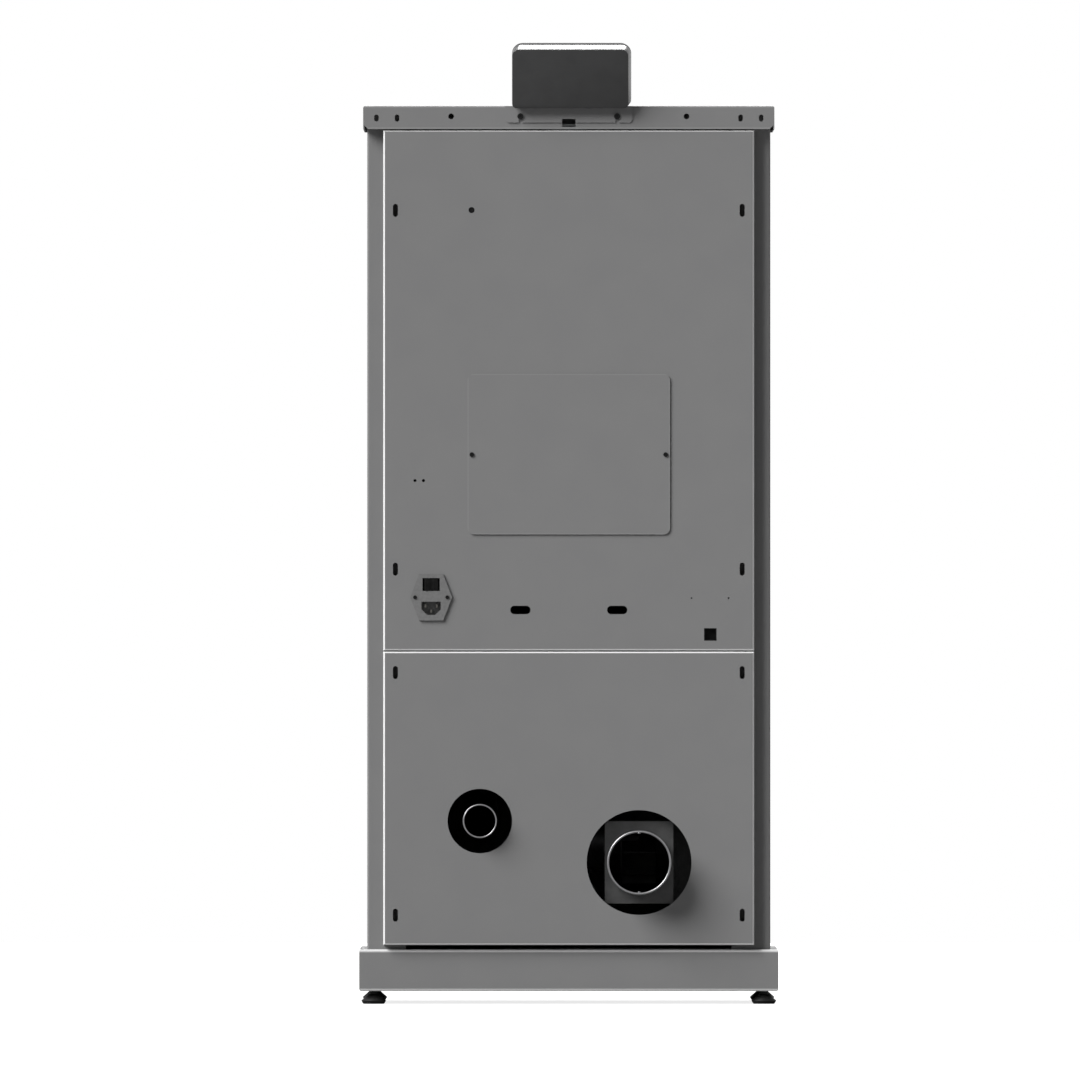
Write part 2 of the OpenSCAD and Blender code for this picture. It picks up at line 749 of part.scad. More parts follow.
auger_flange_r = 44;
auger_flange_t = 4;
chute_w = 50;                  // inner width of the drop chute
chute_fall = 50;               // slope of the chute below level
chute_start = 152;             // where the chute leaves the tube, along the auger
chute_out = 46;                // how far the chute ends in front of the firebox's back
chute_out_d = firebox_back + chute_out;

module on_chute() {
  translate([0, auger_at.x - chute_start * cos(auger_rise), auger_at.y + chute_start * sin(auger_rise)])
    rotate([90 + chute_fall, 0, 0]) children();
}

chute_l = (chute_out_d - auger_d - chute_start * cos(auger_rise)) / cos(chute_fall);

module auger_tube() {
  inner = auger_tube_r - auger_wall;
  color(galvanised) difference() {
    union() {
      on_auger() cylinder(r = auger_tube_r, h = auger_l);
      on_auger() cylinder(r = auger_flange_r, h = auger_flange_t);
    }
    on_auger() translate([0, 0, -over]) cylinder(r = inner, h = auger_l - auger_wall + over);
    half = neck_w / 2 - hopper_sheet;
    intersection() {
      box([-half, back(neck_d) - half, auger_at.y], [half, back(neck_d) + half, cap_top]);
      on_auger() translate([-neck_w, 0, 0]) cube([2 * neck_w, neck_w, auger_l]);
    }
    on_chute() translate([0, 0, chute_l / 2]) cube([chute_w, chute_w, chute_l], center = true);
  }
}

module auger_bush() {
  color("#b08d4c") on_auger() difference() {
    translate([0, 0, rest_gap]) cylinder(r = auger_tube_r - auger_wall - run_fit, h = bush_l - rest_gap);
    translate([0, 0, -over]) cylinder(r = shaft_r + run_fit, h = bush_l + 2 * over);
  }
}

bush_l = 12;
flight_gap = 3;                // gap between the bush and the flight
flight_t_share = 0.09;         // share of the pitch that the flight's edge takes
shaft_in = 24;                 // length of shaft inside the gearmotor
flight_l = auger_l - bush_l - 2 * flight_gap - auger_wall;

module flight_profile() {
  a = 360 * flight_t_share;
  polygon(concat(
    [for (i = [0 : 2]) (shaft_r - over) * [cos(a * i / 2), sin(a * i / 2)]],
    [for (i = [2 : -1 : 0]) flight_r * [cos(a * i / 2), sin(a * i / 2)]]
  ));
}

module auger_screw() {
  turns = flight_l / flight_pitch;
  color(steel) on_auger() {
    translate([0, 0, -shaft_in]) cylinder(r = shaft_r, h = shaft_in + bush_l + flight_gap + flight_l);
    translate([0, 0, bush_l + flight_gap])
      linear_extrude(flight_l, twist = -360 * turns, slices = round(28 * turns), $fn = 4) flight_profile();
  }
}

gear_size = [88, 64, 35];      // the gearbox, on the tube's flange
motor_size = [58, 52, 34];     // the motor behind it
motor_shift = 10;

module auger_gearmotor() {
  color(cast_gray) on_auger() difference() {
    union() {
      translate([0, 0, -gear_size.z / 2]) rotate([0, 90, 0])
        linear_extrude(gear_size.x, center = true) rounded(gear_size.z, gear_size.y, bend_r);
      translate([motor_shift, 0, -gear_size.z - motor_size.z])
        linear_extrude(motor_size.z + over) rounded(motor_size.x, motor_size.y, bend_r);
    }
    translate([0, 0, -shaft_in - rest_gap]) cylinder(r = shaft_r + run_fit, h = shaft_in + rest_gap + over);
  }
}

module drop_chute() {
  w = chute_w + 2 * plate;
  color(galvanised) difference() {
    on_chute() translate([0, 0, chute_l / 2]) cube([w, w, chute_l], center = true);
    on_chute() translate([0, 0, chute_l / 2]) cube([chute_w, chute_w, chute_l + 2 * over], center = true);
    on_auger() translate([0, 0, -auger_l]) cylinder(r = auger_tube_r + run_fit, h = 2 * auger_l + plate);
  }
}

// Front pieces, from the plinth up
lower_front_z = plinth_top + unit_gap;
drawer_front_z = lower_front_z + lower_front_h + unit_gap;
door_z = drawer_front_z + drawer_front_h + unit_gap;
grille_z = door_z + door_h + unit_gap;
grille_h = cap_bottom - unit_gap - grille_z;
unit_y = front_y + unit_t;     // back of the front pieces

// Firebox: its front wall lies behind the front frame
fire_back_y = back(firebox_back);
fire_front_y = frame_y + sheet;
fire_up = 6;
fire_z = door_z + fire_up;
fire_top = fire_z + firebox_h;
mouth_in = 12;                 // distance of the mouth's edge from the firebox's side
mouth_low = 25;
mouth_high = 21;               // distance of the mouth's top below the door's top
hearth_h = 72;
hearth_side = 50;              // distance of the hearth from the firebox's side
hearth_w = firebox_w - 2 * hearth_side;
pot_d = (firebox_back + frame_d - sheet) / 2;
hearth_out = 68;               // how far the hearth reaches in front of the burn pot's middle
hearth_d = pot_d + hearth_out;
pot_rim = 6;
ash_slot = [22, 165];
ash_slot_in = 34;
ash_slot_x = firebox_w / 2 - ash_slot_in;
smoke_hole = [25, 85];
smoke_hole_x = 155.5;
smoke_hole_up = 15;
pipe_share = 17 / 95;          // pitch of the pipes as a share of the firebox's width
pipe_pitch = firebox_w * pipe_share;
pipe_down = 60;                // distance of the pipes' axis below the firebox's top
igniter_up = 36;
igniter_r = 5;
igniter_sleeve_r = 9;
air_up = 30;                   // height of the air pipe's end above the firebox's floor
runner_drop = 20;
runner_lip = 11;
runner_in = 13;
drawer_side = firebox_w / 2 - runner_in;
mouth = [firebox_w / 2 - mouth_in, fire_z + mouth_low, door_z + door_h - mouth_high];
pipe_z = fire_top - pipe_down;

function pipe_x(i) = (i - (pipes - 1) / 2) * pipe_pitch;

module chute_passage(gap) {
  w = chute_w + 2 * plate + 2 * gap;
  on_chute() translate([0, 0, chute_l / 2]) cube([w, w, chute_l + 2 * over], center = true);
}

module firebox() {
  x = firebox_w / 2;
  color(cast_gray) {
    difference() {
      box([-x, fire_front_y, fire_z], [x, fire_back_y, fire_top]);
      box([plate - x, fire_front_y + plate, fire_z + plate],
        [x - plate, fire_back_y - plate, fire_top - plate]);
      box([-mouth.x, fire_front_y - over, mouth.y], [mouth.x, fire_front_y + plate + over, mouth.z]);
      for (i = [0 : pipes - 1])
        rod_y(pipe_x(i), fire_back_y + over, pipe_z, pipe_d / 2 + run_fit,
          frame_d - firebox_back + 2 * over);
      chute_passage(rest_gap);
      rod_y(0, fire_back_y + over, fire_z + igniter_up, igniter_sleeve_r + run_fit, plate + 2 * over);
      rod_y(intake_x, fire_back_y + over, fire_z + air_up, intake_d / 2 + run_fit, plate + 2 * over);
      box([-smoke_hole_x - smoke_hole.x / 2, fire_back_y - plate - over, fire_z + smoke_hole_up],
        [-smoke_hole_x + smoke_hole.x / 2, fire_back_y + over, fire_z + smoke_hole_up + smoke_hole.y]);
      for (s = [-1, 1]) translate([s * ash_slot_x, back(pot_d), fire_z + plate / 2])
        cube([ash_slot.x, ash_slot.y, plate + 2 * over], center = true);
    }
    for (s = [-1, 1]) for (a = [0, 1]) {
      y = [fire_front_y, back(firebox_back + 2 * drawer_back_gap)];
      w = a == 0 ? sheet : runner_lip;
      h = a == 0 ? runner_drop : sheet;
      x1 = s * drawer_side;
      box([min(x1, x1 - s * w), y[0], fire_z - runner_drop],
        [max(x1, x1 - s * w), y[1], fire_z - runner_drop + h]);
    }
  }
}

lining_clear = 0.5;
baffle_gap = 60;               // gap in front of the baffle for the hot gas
lining_h = 450;
brick = [84, 42];              // pattern of the lining's joints
brick_joint = 2;

module firebox_lining() {
  x = firebox_w / 2 - plate - lining_clear;
  y1 = fire_back_y - plate - lining_clear;
  z0 = fire_z + hearth_h + plate + 2 * pot_wall;
  z1 = fire_z + plate + lining_h + hearth_h;
  side_y0 = fire_front_y + plate + lining_clear;
  color("#8a8378") {
    difference() {
      box([lining_t + lining_clear - x, y1 - lining_t, z0], [x - lining_t - lining_clear, y1, z1]);
      chute_passage(plate);
      for (k = [1 : floor((z1 - z0) / brick.y) - 1])
        box([-x, y1 - lining_t - over, z0 + k * brick.y],
          [x, y1 - lining_t + brick_joint, z0 + k * brick.y + brick_joint]);
    }
    for (s = [-1, 1])
      box([s > 0 ? x - lining_t : -x, side_y0, fire_z + plate], [s > 0 ? x : lining_t - x, y1, z1]);
    box([-x, side_y0 + baffle_gap, z1], [x, y1, z1 + lining_t]);
  }
}

module pot_holder() {
  x = hearth_w / 2;
  y0 = back(hearth_d);
  y1 = fire_back_y - plate;
  z0 = fire_z + plate;
  z1 = fire_z + hearth_h + plate;
  hole = pot_w / 2 + over;
  color(cast_gray) difference() {
    box([-x, y0, z0], [x, y1, z1]);
    box([plate - x, y0 + plate, z0 - over], [x - plate, y1 + over, z1 - plate]);
    box([-hole, back(pot_d) - hole, z0], [hole, back(pot_d) + hole, z1 + over]);
  }
}

pot_holes = 5;
pot_hole_r = 3;

module burn_pot() {
  x = pot_w / 2;
  z1 = fire_z + hearth_h + plate;
  z0 = z1 - pot_h;
  pitch = (pot_w - 2 * pot_wall) / pot_holes;
  color("#4b4a48") translate([0, back(pot_d), 0]) difference() {
    union() {
      box([-x, -x, z0], [x, x, z1 + pot_wall]);
      box([-x - pot_rim, -x - pot_rim, z1], [x + pot_rim, x + pot_rim, z1 + pot_wall]);
    }
    box([pot_wall - x, pot_wall - x, z0 + pot_wall], [x - pot_wall, x - pot_wall, z1 + pot_wall + over]);
    for (i = [0 : pot_holes - 1], j = [0 : pot_holes - 1])
      translate([(i - (pot_holes - 1) / 2) * pitch, (j - (pot_holes - 1) / 2) * pitch, z0 - over])
        cylinder(r = pot_hole_r, h = pot_wall + 2 * over);
    rod_y(0, x + over, fire_z + igniter_up, igniter_r + over, pot_wall + 2 * over);
  }
}

igniter_tail = 34;
igniter_gap = 2;               // gap between the igniter's tip and the burn pot

module igniter() {
  y0 = fire_back_y + igniter_tail;
  z = fire_z + igniter_up;
  color(steel) {
    rod_y(0, y0, z, igniter_sleeve_r, igniter_tail + 2 * plate);
    rod_y(0, y0, z, igniter_r, y0 - back(pot_d) - pot_w / 2 - igniter_gap);
    rod_y(0, fire_back_y + plate, z, 2 * igniter_sleeve_r, plate);
  }
}

module heat_pipes() {
  l = frame_d - sheet - firebox_back;
  color(cast_gray) for (i = [0 : pipes - 1]) difference() {
    rod_y(pipe_x(i), fire_back_y, pipe_z, pipe_d / 2, l);
    rod_y(pipe_x(i), fire_back_y + over, pipe_z, pipe_d / 2 - pipe_wall, l + 2 * over);
  }
}

// Smoke path: firebox, duct, exhaust housing, spigot
duct_x = flue_x + exhaust_w / 2;       // inner side of the smoke duct
duct_w = 57;
fan_d = 165;                   // depth of the exhaust impeller's axis
scroll_r = 80;                 // radius of the exhaust scroll at its outlet
fan_z = flue_z - outlet_h / 2 + scroll_r;
scroll_start = 66;
outlet_d = 22;                 // depth of the exhaust housing's rear face
exhaust_wall = 2;
eye_r = 40;                    // radius of the exhaust fan's inlet
duct_rear_d = 112;
duct_upper_d = 205;
duct_step = 95;                // height of the duct's step above the fan's axis
duct_top_up = 112;             // height of the duct's top above the firebox's floor

module smoke_duct() {
  x0 = -duct_x - duct_w;
  z0 = flue_z - outlet_h / 2;
  step = fan_z + duct_step;
  top = fire_z + duct_top_up;
  color(galvanised) difference() {
    sideways(x0, duct_w) polygon([
      [back(duct_rear_d), z0], [fire_back_y, z0], [fire_back_y, top],
      [back(duct_upper_d), top], [back(duct_upper_d), step], [back(duct_rear_d), step]
    ]);
    t = exhaust_wall;
    sideways(x0 + t, duct_w - 2 * t) polygon([
      [back(duct_rear_d) - t, z0 + t], [fire_back_y + t, z0 + t], [fire_back_y + t, top - t],
      [back(duct_upper_d) - t, top - t], [back(duct_upper_d) - t, step - t],
      [back(duct_rear_d) - t, step - t]
    ]);
    rod_x(-duct_x - t - over, back(fan_d), fan_z, eye_r, t + 2 * over);
    box([-smoke_hole_x - smoke_hole.x / 2, fire_back_y - over, fire_z + smoke_hole_up],
      [-smoke_hole_x + smoke_hole.x / 2, fire_back_y + t + over, fire_z + smoke_hole_up + smoke_hole.y]);
  }
}

// Outline of the scroll in Y and Z about the fan's axis: a spiral that runs over the top, down the front
// and along the bottom to the outlet at the back
scroll_steps = 20;

function scroll_point(i, t) = let (a = 20 + 250 * i / scroll_steps,
  r = scroll_start + (scroll_r - scroll_start) * i / scroll_steps - t) [r * cos(a), r * sin(a)];

module scroll_shape(t, reach) {
  top = outlet_h - scroll_r;
  polygon(concat(
    [[reach, top - t], [scroll_point(0, t).x, top - t]],
    [for (i = [0 : scroll_steps]) scroll_point(i, t)],
    [[reach, t - scroll_r]]
  ));
}

module exhaust_housing() {
  reach = fan_d - outlet_d;
  t = exhaust_wall;
  color(galvanised) translate([0, back(fan_d), fan_z]) difference() {
    sideways(-duct_x, exhaust_w) scroll_shape(0, reach);
    sideways(t - duct_x, exhaust_w - 2 * t) scroll_shape(t, reach - t);
    rod_x(-duct_x - over, 0, 0, eye_r, t + 2 * over);
    rod_x(exhaust_w - duct_x - t - over, 0, 0, exhaust_shaft_r * 3, t + 2 * over);
    rod_y(-flue_x, reach + over, flue_z - fan_z, flue_d / 2 - flue_wall, t + 2 * over);
  }
}

exhaust_shaft_r = 4;
impeller_w = 46;
impeller_blades = 10;
blade_t = 2;
impeller_hub_r = 13;
exhaust_motor_r = 38;
exhaust_motor_l = 72;
shaft_tail = 30;

module exhaust_impeller() {
  x0 = -flue_x - impeller_w / 2;
  motor_x = exhaust_w - duct_x;
  color(steel) translate([x0, back(fan_d), fan_z]) rotate([0, 90, 0]) {
    translate([0, 0, impeller_w - blade_t]) cylinder(r = impeller_r, h = blade_t);
    translate([0, 0, impeller_w / 2]) cylinder(r = impeller_hub_r, h = impeller_w / 2);
    translate([0, 0, impeller_w / 2])
      cylinder(r = exhaust_shaft_r, h = motor_x + shaft_tail - x0 - impeller_w / 2);
    for (i = [0 : impeller_blades - 1]) rotate(i * 360 / impeller_blades)
      translate([impeller_hub_r - over, -blade_t / 2, blade_t])
        cube([impeller_r - impeller_hub_r - over, blade_t, impeller_w - 1.5 * blade_t]);
  }
}

module exhaust_motor() {
  x = exhaust_w - duct_x;
  y = back(fan_d);
  color(cast_gray) difference() {
    union() {
      rod_x(x, y, fan_z, 1.4 * exhaust_motor_r, exhaust_wall);
      rod_x(x, y, fan_z, exhaust_motor_r, exhaust_motor_l);
      for (i = [1 : 4]) rod_x(x + i * exhaust_motor_l / 5, y, fan_z, exhaust_motor_r + blade_t, blade_t);
    }
    rod_x(x - over, y, fan_z, exhaust_shaft_r + run_fit, shaft_tail + rest_gap + over);
  }
}

spigot_collar = 3;

module flue_spigot() {
  y = rear_y + spigot_reach;
  l = spigot_reach + outlet_d;
  color(steel) difference() {
    union() {
      rod_y(-flue_x, y, flue_z, flue_d / 2, l);
      rod_y(-flue_x, y - l + flue_wall, flue_z, flue_d / 2 + spigot_collar / 3, flue_wall);
    }
    rod_y(-flue_x, y + over, flue_z, flue_d / 2 - flue_wall, l + 2 * over);
  }
}

// The air intake runs forwards, up and forwards again into the hearth
bend_turn = 52;                // radius of the pipe's two bends
riser_d = 206;                 // depth of its upright run

module quarter_bend(r, from) {
  rotate([90, 0, 90]) rotate(from) rotate_extrude(angle = 90) translate([bend_turn, 0]) circle(r);
}

module pipe_run(r) {
  z1 = fire_z + air_up;
  y0 = back(riser_d);
  translate([intake_x, 0, 0]) {
    rod_y(0, rear_y + intake_reach, intake_z, r, riser_d - bend_turn + intake_reach);
    translate([0, y0 + bend_turn, intake_z + bend_turn]) quarter_bend(r, 180);
    translate([0, y0, intake_z + bend_turn]) cylinder(r = r, h = z1 - intake_z - 2 * bend_turn);
    translate([0, y0 - bend_turn, z1 - bend_turn]) quarter_bend(r, 0);
    rod_y(0, y0 - bend_turn, z1, r, firebox_back + plate - riser_d - bend_turn);
  }
}

module air_intake_pipe() {
  y_in = back(firebox_back + plate);
  color(steel) difference() {
    pipe_run(intake_d / 2);
    pipe_run(intake_d / 2 - intake_wall);
    rod_y(intake_x, rear_y + intake_reach + over, intake_z, intake_d / 2 - intake_wall, 2 * over);
    rod_y(intake_x, y_in + over, fire_z + air_up, intake_d / 2 - intake_wall, 2 * over);
  }
}

// Room air: a tangential fan on a shelf between the side panels
shelf_d = [60, 168];           // depths of the shelf's two edges
shelf_up = 272;                // height of the shelf's top above the plinth
shelf_lip = 22;
shelf_z = plinth_top + shelf_up;
blower_xs = [-170, 26];
blower_r = 30;                 // radius of the fan's rotor
blower_gap = 6;
blower_d = 114;
blower_shaft_r = 4;
blower_end = 3;
blower_z = shelf_z + blower_r + blower_gap + sheet;
blower_blades = 20;
blower_motor_r = 30;
blower_motor_l = 42;

module fan_shelf() {
  l = shelf_d[1] - shelf_d[0];
  color(galvanised) translate([0, back((shelf_d[0] + shelf_d[1]) / 2), shelf_z - shelf_lip])
    tray(2 * side_in, l, shelf_lip, bend_r, sheet);
}

// The housing is open towards the front above, where it blows up behind the firebox
module room_fan_housing() {
  out = blower_r + blower_gap + sheet;
  r = blower_r + blower_gap;
  y = back(blower_d);
  color(galvanised) difference() {
    sideways(blower_xs[0], blower_xs[1] - blower_xs[0]) translate([y, blower_z]) {
      circle(out);
      translate([-out, -out]) square([2 * out, out]);
      square([out, 2 * blower_r]);
      translate([-out, 0]) square([out, blower_r]);
    }
    sideways(blower_xs[0] + sheet, blower_xs[1] - blower_xs[0] - 2 * sheet) translate([y, blower_z]) {
      circle(r);
      translate([-r - 2 * sheet, -blower_r / 2]) square([r + 2 * sheet, blower_r]);
      translate([-r, 0]) square([2 * r, 2 * blower_r + over]);
    }
    rod_x(blower_xs[0] - over, y, blower_z, blower_shaft_r + run_fit,
      blower_xs[1] - blower_xs[0] + 2 * over);
  }
}

module room_fan_rotor() {
  x0 = blower_xs[0] + sheet + blower_gap;
  l = blower_xs[1] - blower_xs[0] - 2 * sheet - 2 * blower_gap;
  shaft_l = blower_xs[1] - blower_xs[0] + shaft_tail;
  color(frame_black) translate([0, back(blower_d), blower_z]) {
    rod_x(blower_xs[0] - 2 * sheet, 0, 0, blower_shaft_r, shaft_l);
    for (x = [x0, x0 + l - blower_end]) rod_x(x, 0, 0, blower_r, blower_end);
    translate([x0, 0, 0]) rotate([0, 90, 0]) for (i = [0 : blower_blades - 1])
      rotate(i * 360 / blower_blades) translate([0.8 * blower_r, 0, 0]) rotate(30)
        linear_extrude(l) square([blower_r / 4.5, blade_t / 2], center = true);
  }
}

module room_fan_motor() {
  x = blower_xs[1];
  color(cast_gray) difference() {
    union() {
      rod_x(x, back(blower_d), blower_z, blower_motor_r, blower_motor_l);
      box([x, back(blower_d) - blower_motor_r, shelf_z],
        [x + blower_end, back(blower_d) + blower_motor_r, blower_z]);
    }
    rod_x(x - over, back(blower_d), blower_z, blower_shaft_r + run_fit, shaft_tail + over);
  }
}

// Electrics
board_d = [66, 186];
board_up = 350;
board_h = 180;
board_t = 1.6;
board_stand = 8;
board_stand_r = 4;

module control_board() {
  x = -side_in + board_stand;
  z0 = plinth_top + board_up;
  relay = [28, 18, 16];
  color("#2f5a3c") {
    box([x, back(board_d[1]), z0], [x + board_t, back(board_d[0]), z0 + board_h]);
    for (d = [board_d[0] + board_stand, board_d[1] - board_stand],
      z = [z0 + board_stand, z0 + board_h - board_stand])
      rod_x(-side_in, back(d), z, board_stand_r, board_stand + board_t / 2);
    for (i = [0 : 3])
      translate([x + board_t / 2, back(board_d[0] + relay.x + i * relay.x), z0 + board_h - 3 * relay.y])
      cube([relay.z, relay.y, relay.x]);
    for (i = [0 : 2])
      rod_x(x, back(board_d[0] + relay.x * (1 + i)), z0 + 3 * relay.y, relay.y / 2 - board_t, 2 * relay.z);
    translate([x, back(board_d[1] - board_stand), z0 + board_stand * 2])
      cube([relay.z, relay.x, 2 * relay.y]);
  }
}

thermostat = [30, 18, 24];
thermostat_stem_r = 3.4;

// Overheat thermostat on the upper panel's inner face, its stem in the round hole
module safety_thermostat() {
  x = probe_at.x;
  z = upper_panel_z + upper_panel_h - probe_at.y;
  y = rear_y - sheet;
  color(frame_black) {
    box([x - thermostat.x / 2, y - thermostat.y, z - thermostat.z / 2],
      [x + thermostat.x / 2, y, z + thermostat.z / 2]);
    rod_y(x, rear_y - sheet / 2, z, thermostat_stem_r, sheet);
  }
}

pressure_at = [120, 552];      // depth, and height above the plinth
pressure_r = 26;
pressure_t = 18;
pressure_port_r = 3;

module pressure_switch() {
  z = plinth_top + pressure_at[1];
  y = back(pressure_at[0]);
  color("#3f4a55") {
    rod_x(side_in - pressure_t, y, z, pressure_r, pressure_t);
    rod_x(side_in - 2 * pressure_t, y, z, pressure_r / 2, pressure_t + over);
    rod_x(side_in - 2.6 * pressure_t, y, z, pressure_port_r, pressure_t);
  }
}

socket_z = inlet_z - socket_down;
rocker_z = inlet_z + rocker_up;
rocker_deep = 14;
rocker_pivot = 6;              // depth of the rocker's pivot behind the flange's face
rocker_pin_r = 1.5;
rocker_tilt = 8;

module socket_outline(grow) {
  w = socket_size.x + 2 * grow;
  h = socket_size.y + 2 * grow;
  translate([inlet_x, socket_z]) polygon([
    [-w / 2, h / 2], [w / 2, h / 2], [w / 2, socket_cut - h / 2], [w / 2 - socket_cut, -h / 2],
    [socket_cut - w / 2, -h / 2], [-w / 2, socket_cut - h / 2]
  ]);
}

module power_inlet() {
  y = rear_y + inlet_flange_t;
  color(frame_black) difference() {
    union() {
      upright(y, inlet_flange_t) translate([inlet_x, inlet_z]) difference() {
        polygon([
          [inlet_side_x, inlet_half_h], [inlet_tip_x, 0], [inlet_side_x, -inlet_half_h],
          [-inlet_side_x, -inlet_half_h], [-inlet_tip_x, 0], [-inlet_side_x, inlet_half_h]
        ]);
        for (x = [-1, 1]) translate([x * inlet_screw_x, 0]) circle(screw_r + run_fit);
      }
      upright(rear_y + over, inlet_body.z + over) translate([inlet_x, inlet_z])
        square([inlet_body.x, inlet_body.y], center = true);
    }
    upright(y + over, socket_deep + over) socket_outline(0);
    upright(y + over, rocker_deep + over) translate([inlet_x, rocker_z]) square(rocker_size, center = true);
    translate([inlet_x, y - rocker_pivot, rocker_z]) cylinder(r = rocker_pin_r + run_fit,
      h = rocker_size.y + 4 * rocker_pin_r, center = true);
  }
}

inlet_pin = [2, 4];
inlet_pin_xs = [-7, 7];
inlet_pin_up = 2.8;
inlet_pin_down = 3.6;

module inlet_pins() {
  l = socket_deep - inlet_flange_t;
  y = rear_y + inlet_flange_t - socket_deep;
  color("#b59a5a")
    for (p = [[inlet_pin_xs[0], inlet_pin_up], [inlet_pin_xs[1], inlet_pin_up], [0, -inlet_pin_down]])
    translate([inlet_x + p.x, y, socket_z + p.y]) rotate([-90, 0, 0]) linear_extrude(l)
      square(inlet_pin, center = true);
}

// The rocker turns left and right about an upright pin; its face is dished
module inlet_rocker() {
  w = rocker_size.x - 4 * rest_gap;
  h = rocker_size.y - 2 * rest_gap;
  color("#1c1c1d") translate([inlet_x, rear_y + inlet_flange_t - rocker_pivot, rocker_z]) {
    cylinder(r = rocker_pin_r, h = rocker_size.y + 3 * rocker_pin_r, center = true);
    rotate(rocker_tilt) difference() {
      intersection() {
        translate([-w / 2, -rocker_pivot / 2, -h / 2]) cube([w, rocker_pivot * 1.5, h]);
        cylinder(r = w / 2 - rest_gap, h = h, center = true);
      }
      translate([0, rocker_pivot + w / 2, 0])
        cylinder(r = w / 2 + rest_gap, h = h + 2 * over, center = true);
    }
  }
}

data_deep = 16;
data_wall = 1.2;

module data_socket() {
  z = upper_panel_z + data_up;
  hollow = data_w - 2 * data_wall;
  color(frame_black) difference() {
    translate([data_x, rear_y, z]) rotate([90, 0, 0]) linear_extrude(data_deep)
      square(data_w - 2 * run_fit, center = true);
    translate([data_x, rear_y + over, z]) rotate([90, 0, 0]) linear_extrude(data_deep / 2 + over)
      square(hollow, center = true);
  }
}

// Front frame: it carries the firebox behind it and the door's hinges in front
frame_lip = 20;
latch_r = 17;                  // radius of the recess for the latch's cam in the door's back
latch_in = 31;                 // distance of the handle's shaft from the door's edge
latch_x = body_w / 2 - latch_in;
latch_up = 276;
keeper = [22, 5, 12];          // width, height and reach of the keeper above the cam
rope_clear = 11.4;             // distance of the frame's opening outside the mouth, past the gasket
vent_side = 205;               // half width of the opening behind the grille
vent_up = 34;
vent_h = 112;
latch_z = door_z + latch_up;

module front_frame() {
  h = cap_top - sheet - plinth_top;
  drawer_top = fire_z - over;
  color(panel_gray) difference() {
    translate([0, frame_y + frame_lip, plinth_top + h / 2]) rotate([90, 0, 0])
      tray(2 * side_in, h, frame_lip, bend_r, sheet);
    box([-mouth.x - rope_clear, frame_y - over, mouth.y - rope_clear],
      [mouth.x + rope_clear, frame_y + frame_lip / 2, mouth.z + rope_clear]);
    box([-drawer_side - unit_gap, frame_y - over, drawer_front_z + unit_gap],
      [drawer_side + unit_gap, frame_y + frame_lip / 2, drawer_top]);
    box([-vent_side + unit_gap * 4, frame_y - over, grille_z + vent_up],
      [vent_side - unit_gap * 4, frame_y + frame_lip / 2, grille_z + vent_up + vent_h]);
  }
}

module latch_keeper() {
  z = latch_z + latch_r + keeper.y;
  color(frame_black) {
    box([latch_x - keeper.x / 2, frame_y - sheet, z], [latch_x + keeper.x / 2, frame_y, z + 3 * keeper.y]);
    box([latch_x - keeper.x / 2, frame_y - keeper.z, z], [latch_x + keeper.x / 2, frame_y, z + sheet]);
  }
}

module front_tray(z, h, deep) {
  translate([0, front_y + deep, z + h / 2]) rotate([90, 0, 0]) tray(body_w, h, deep, bend_r, sheet);
}

module lower_front_panel() {
  color(panel_gray) front_tray(lower_front_z, lower_front_h, unit_t + stand_off);
}

vanes = 8;
vane_t = 2;
vane_lean = 35;
vane_deep = 20;

module air_grille() {
  z0 = grille_z + vent_up;
  color(panel_gray) {
    difference() {
      front_tray(grille_z, grille_h, unit_t + stand_off);
      box([-vent_side, front_y - over, z0], [vent_side, front_y + sheet + over, z0 + vent_h]);
    }
    for (x = [-vent_side - sheet, vent_side])
      box([x, front_y + sheet / 2, z0 - sheet], [x + sheet, front_y + vane_deep, z0 + vent_h + sheet]);
    for (i = [0 : vanes - 1])
      translate([0, front_y + vane_deep / 2 + sheet, z0 + (i + 0.5) * vent_h / vanes])
      rotate([-vane_lean, 0, 0])
        cube([2 * vent_side + sheet, vane_deep - 2 * sheet, vane_t], center = true);
  }
}

// Fire door
hinge_x = -body_w / 2 + unit_t / 2;
hinge_y = front_y + unit_t / 2;
hinge_pin_r = 4;
hinge_pin_in = 16;
glass_lap = 10;
glass_clear = 1;
rope = [8, 6.2];               // width of the rope gasket and depth of its groove
rope_in = 9.4;                 // distance of the gasket's outer edge inside the mouth's surround
handle_shaft_r = 6;
door_rib = 5;                  // width of the ribs round the pockets in the door's back
door_relief = 18;              // depth of those pockets

function groove_half(k) = [mouth.x + rope_in - k, (mouth.z - mouth.y) / 2 + rope_in - k];

module ring(outer, inner) {
  difference() {
    square(2 * outer, center = true);
    square(2 * inner, center = true);
  }
}

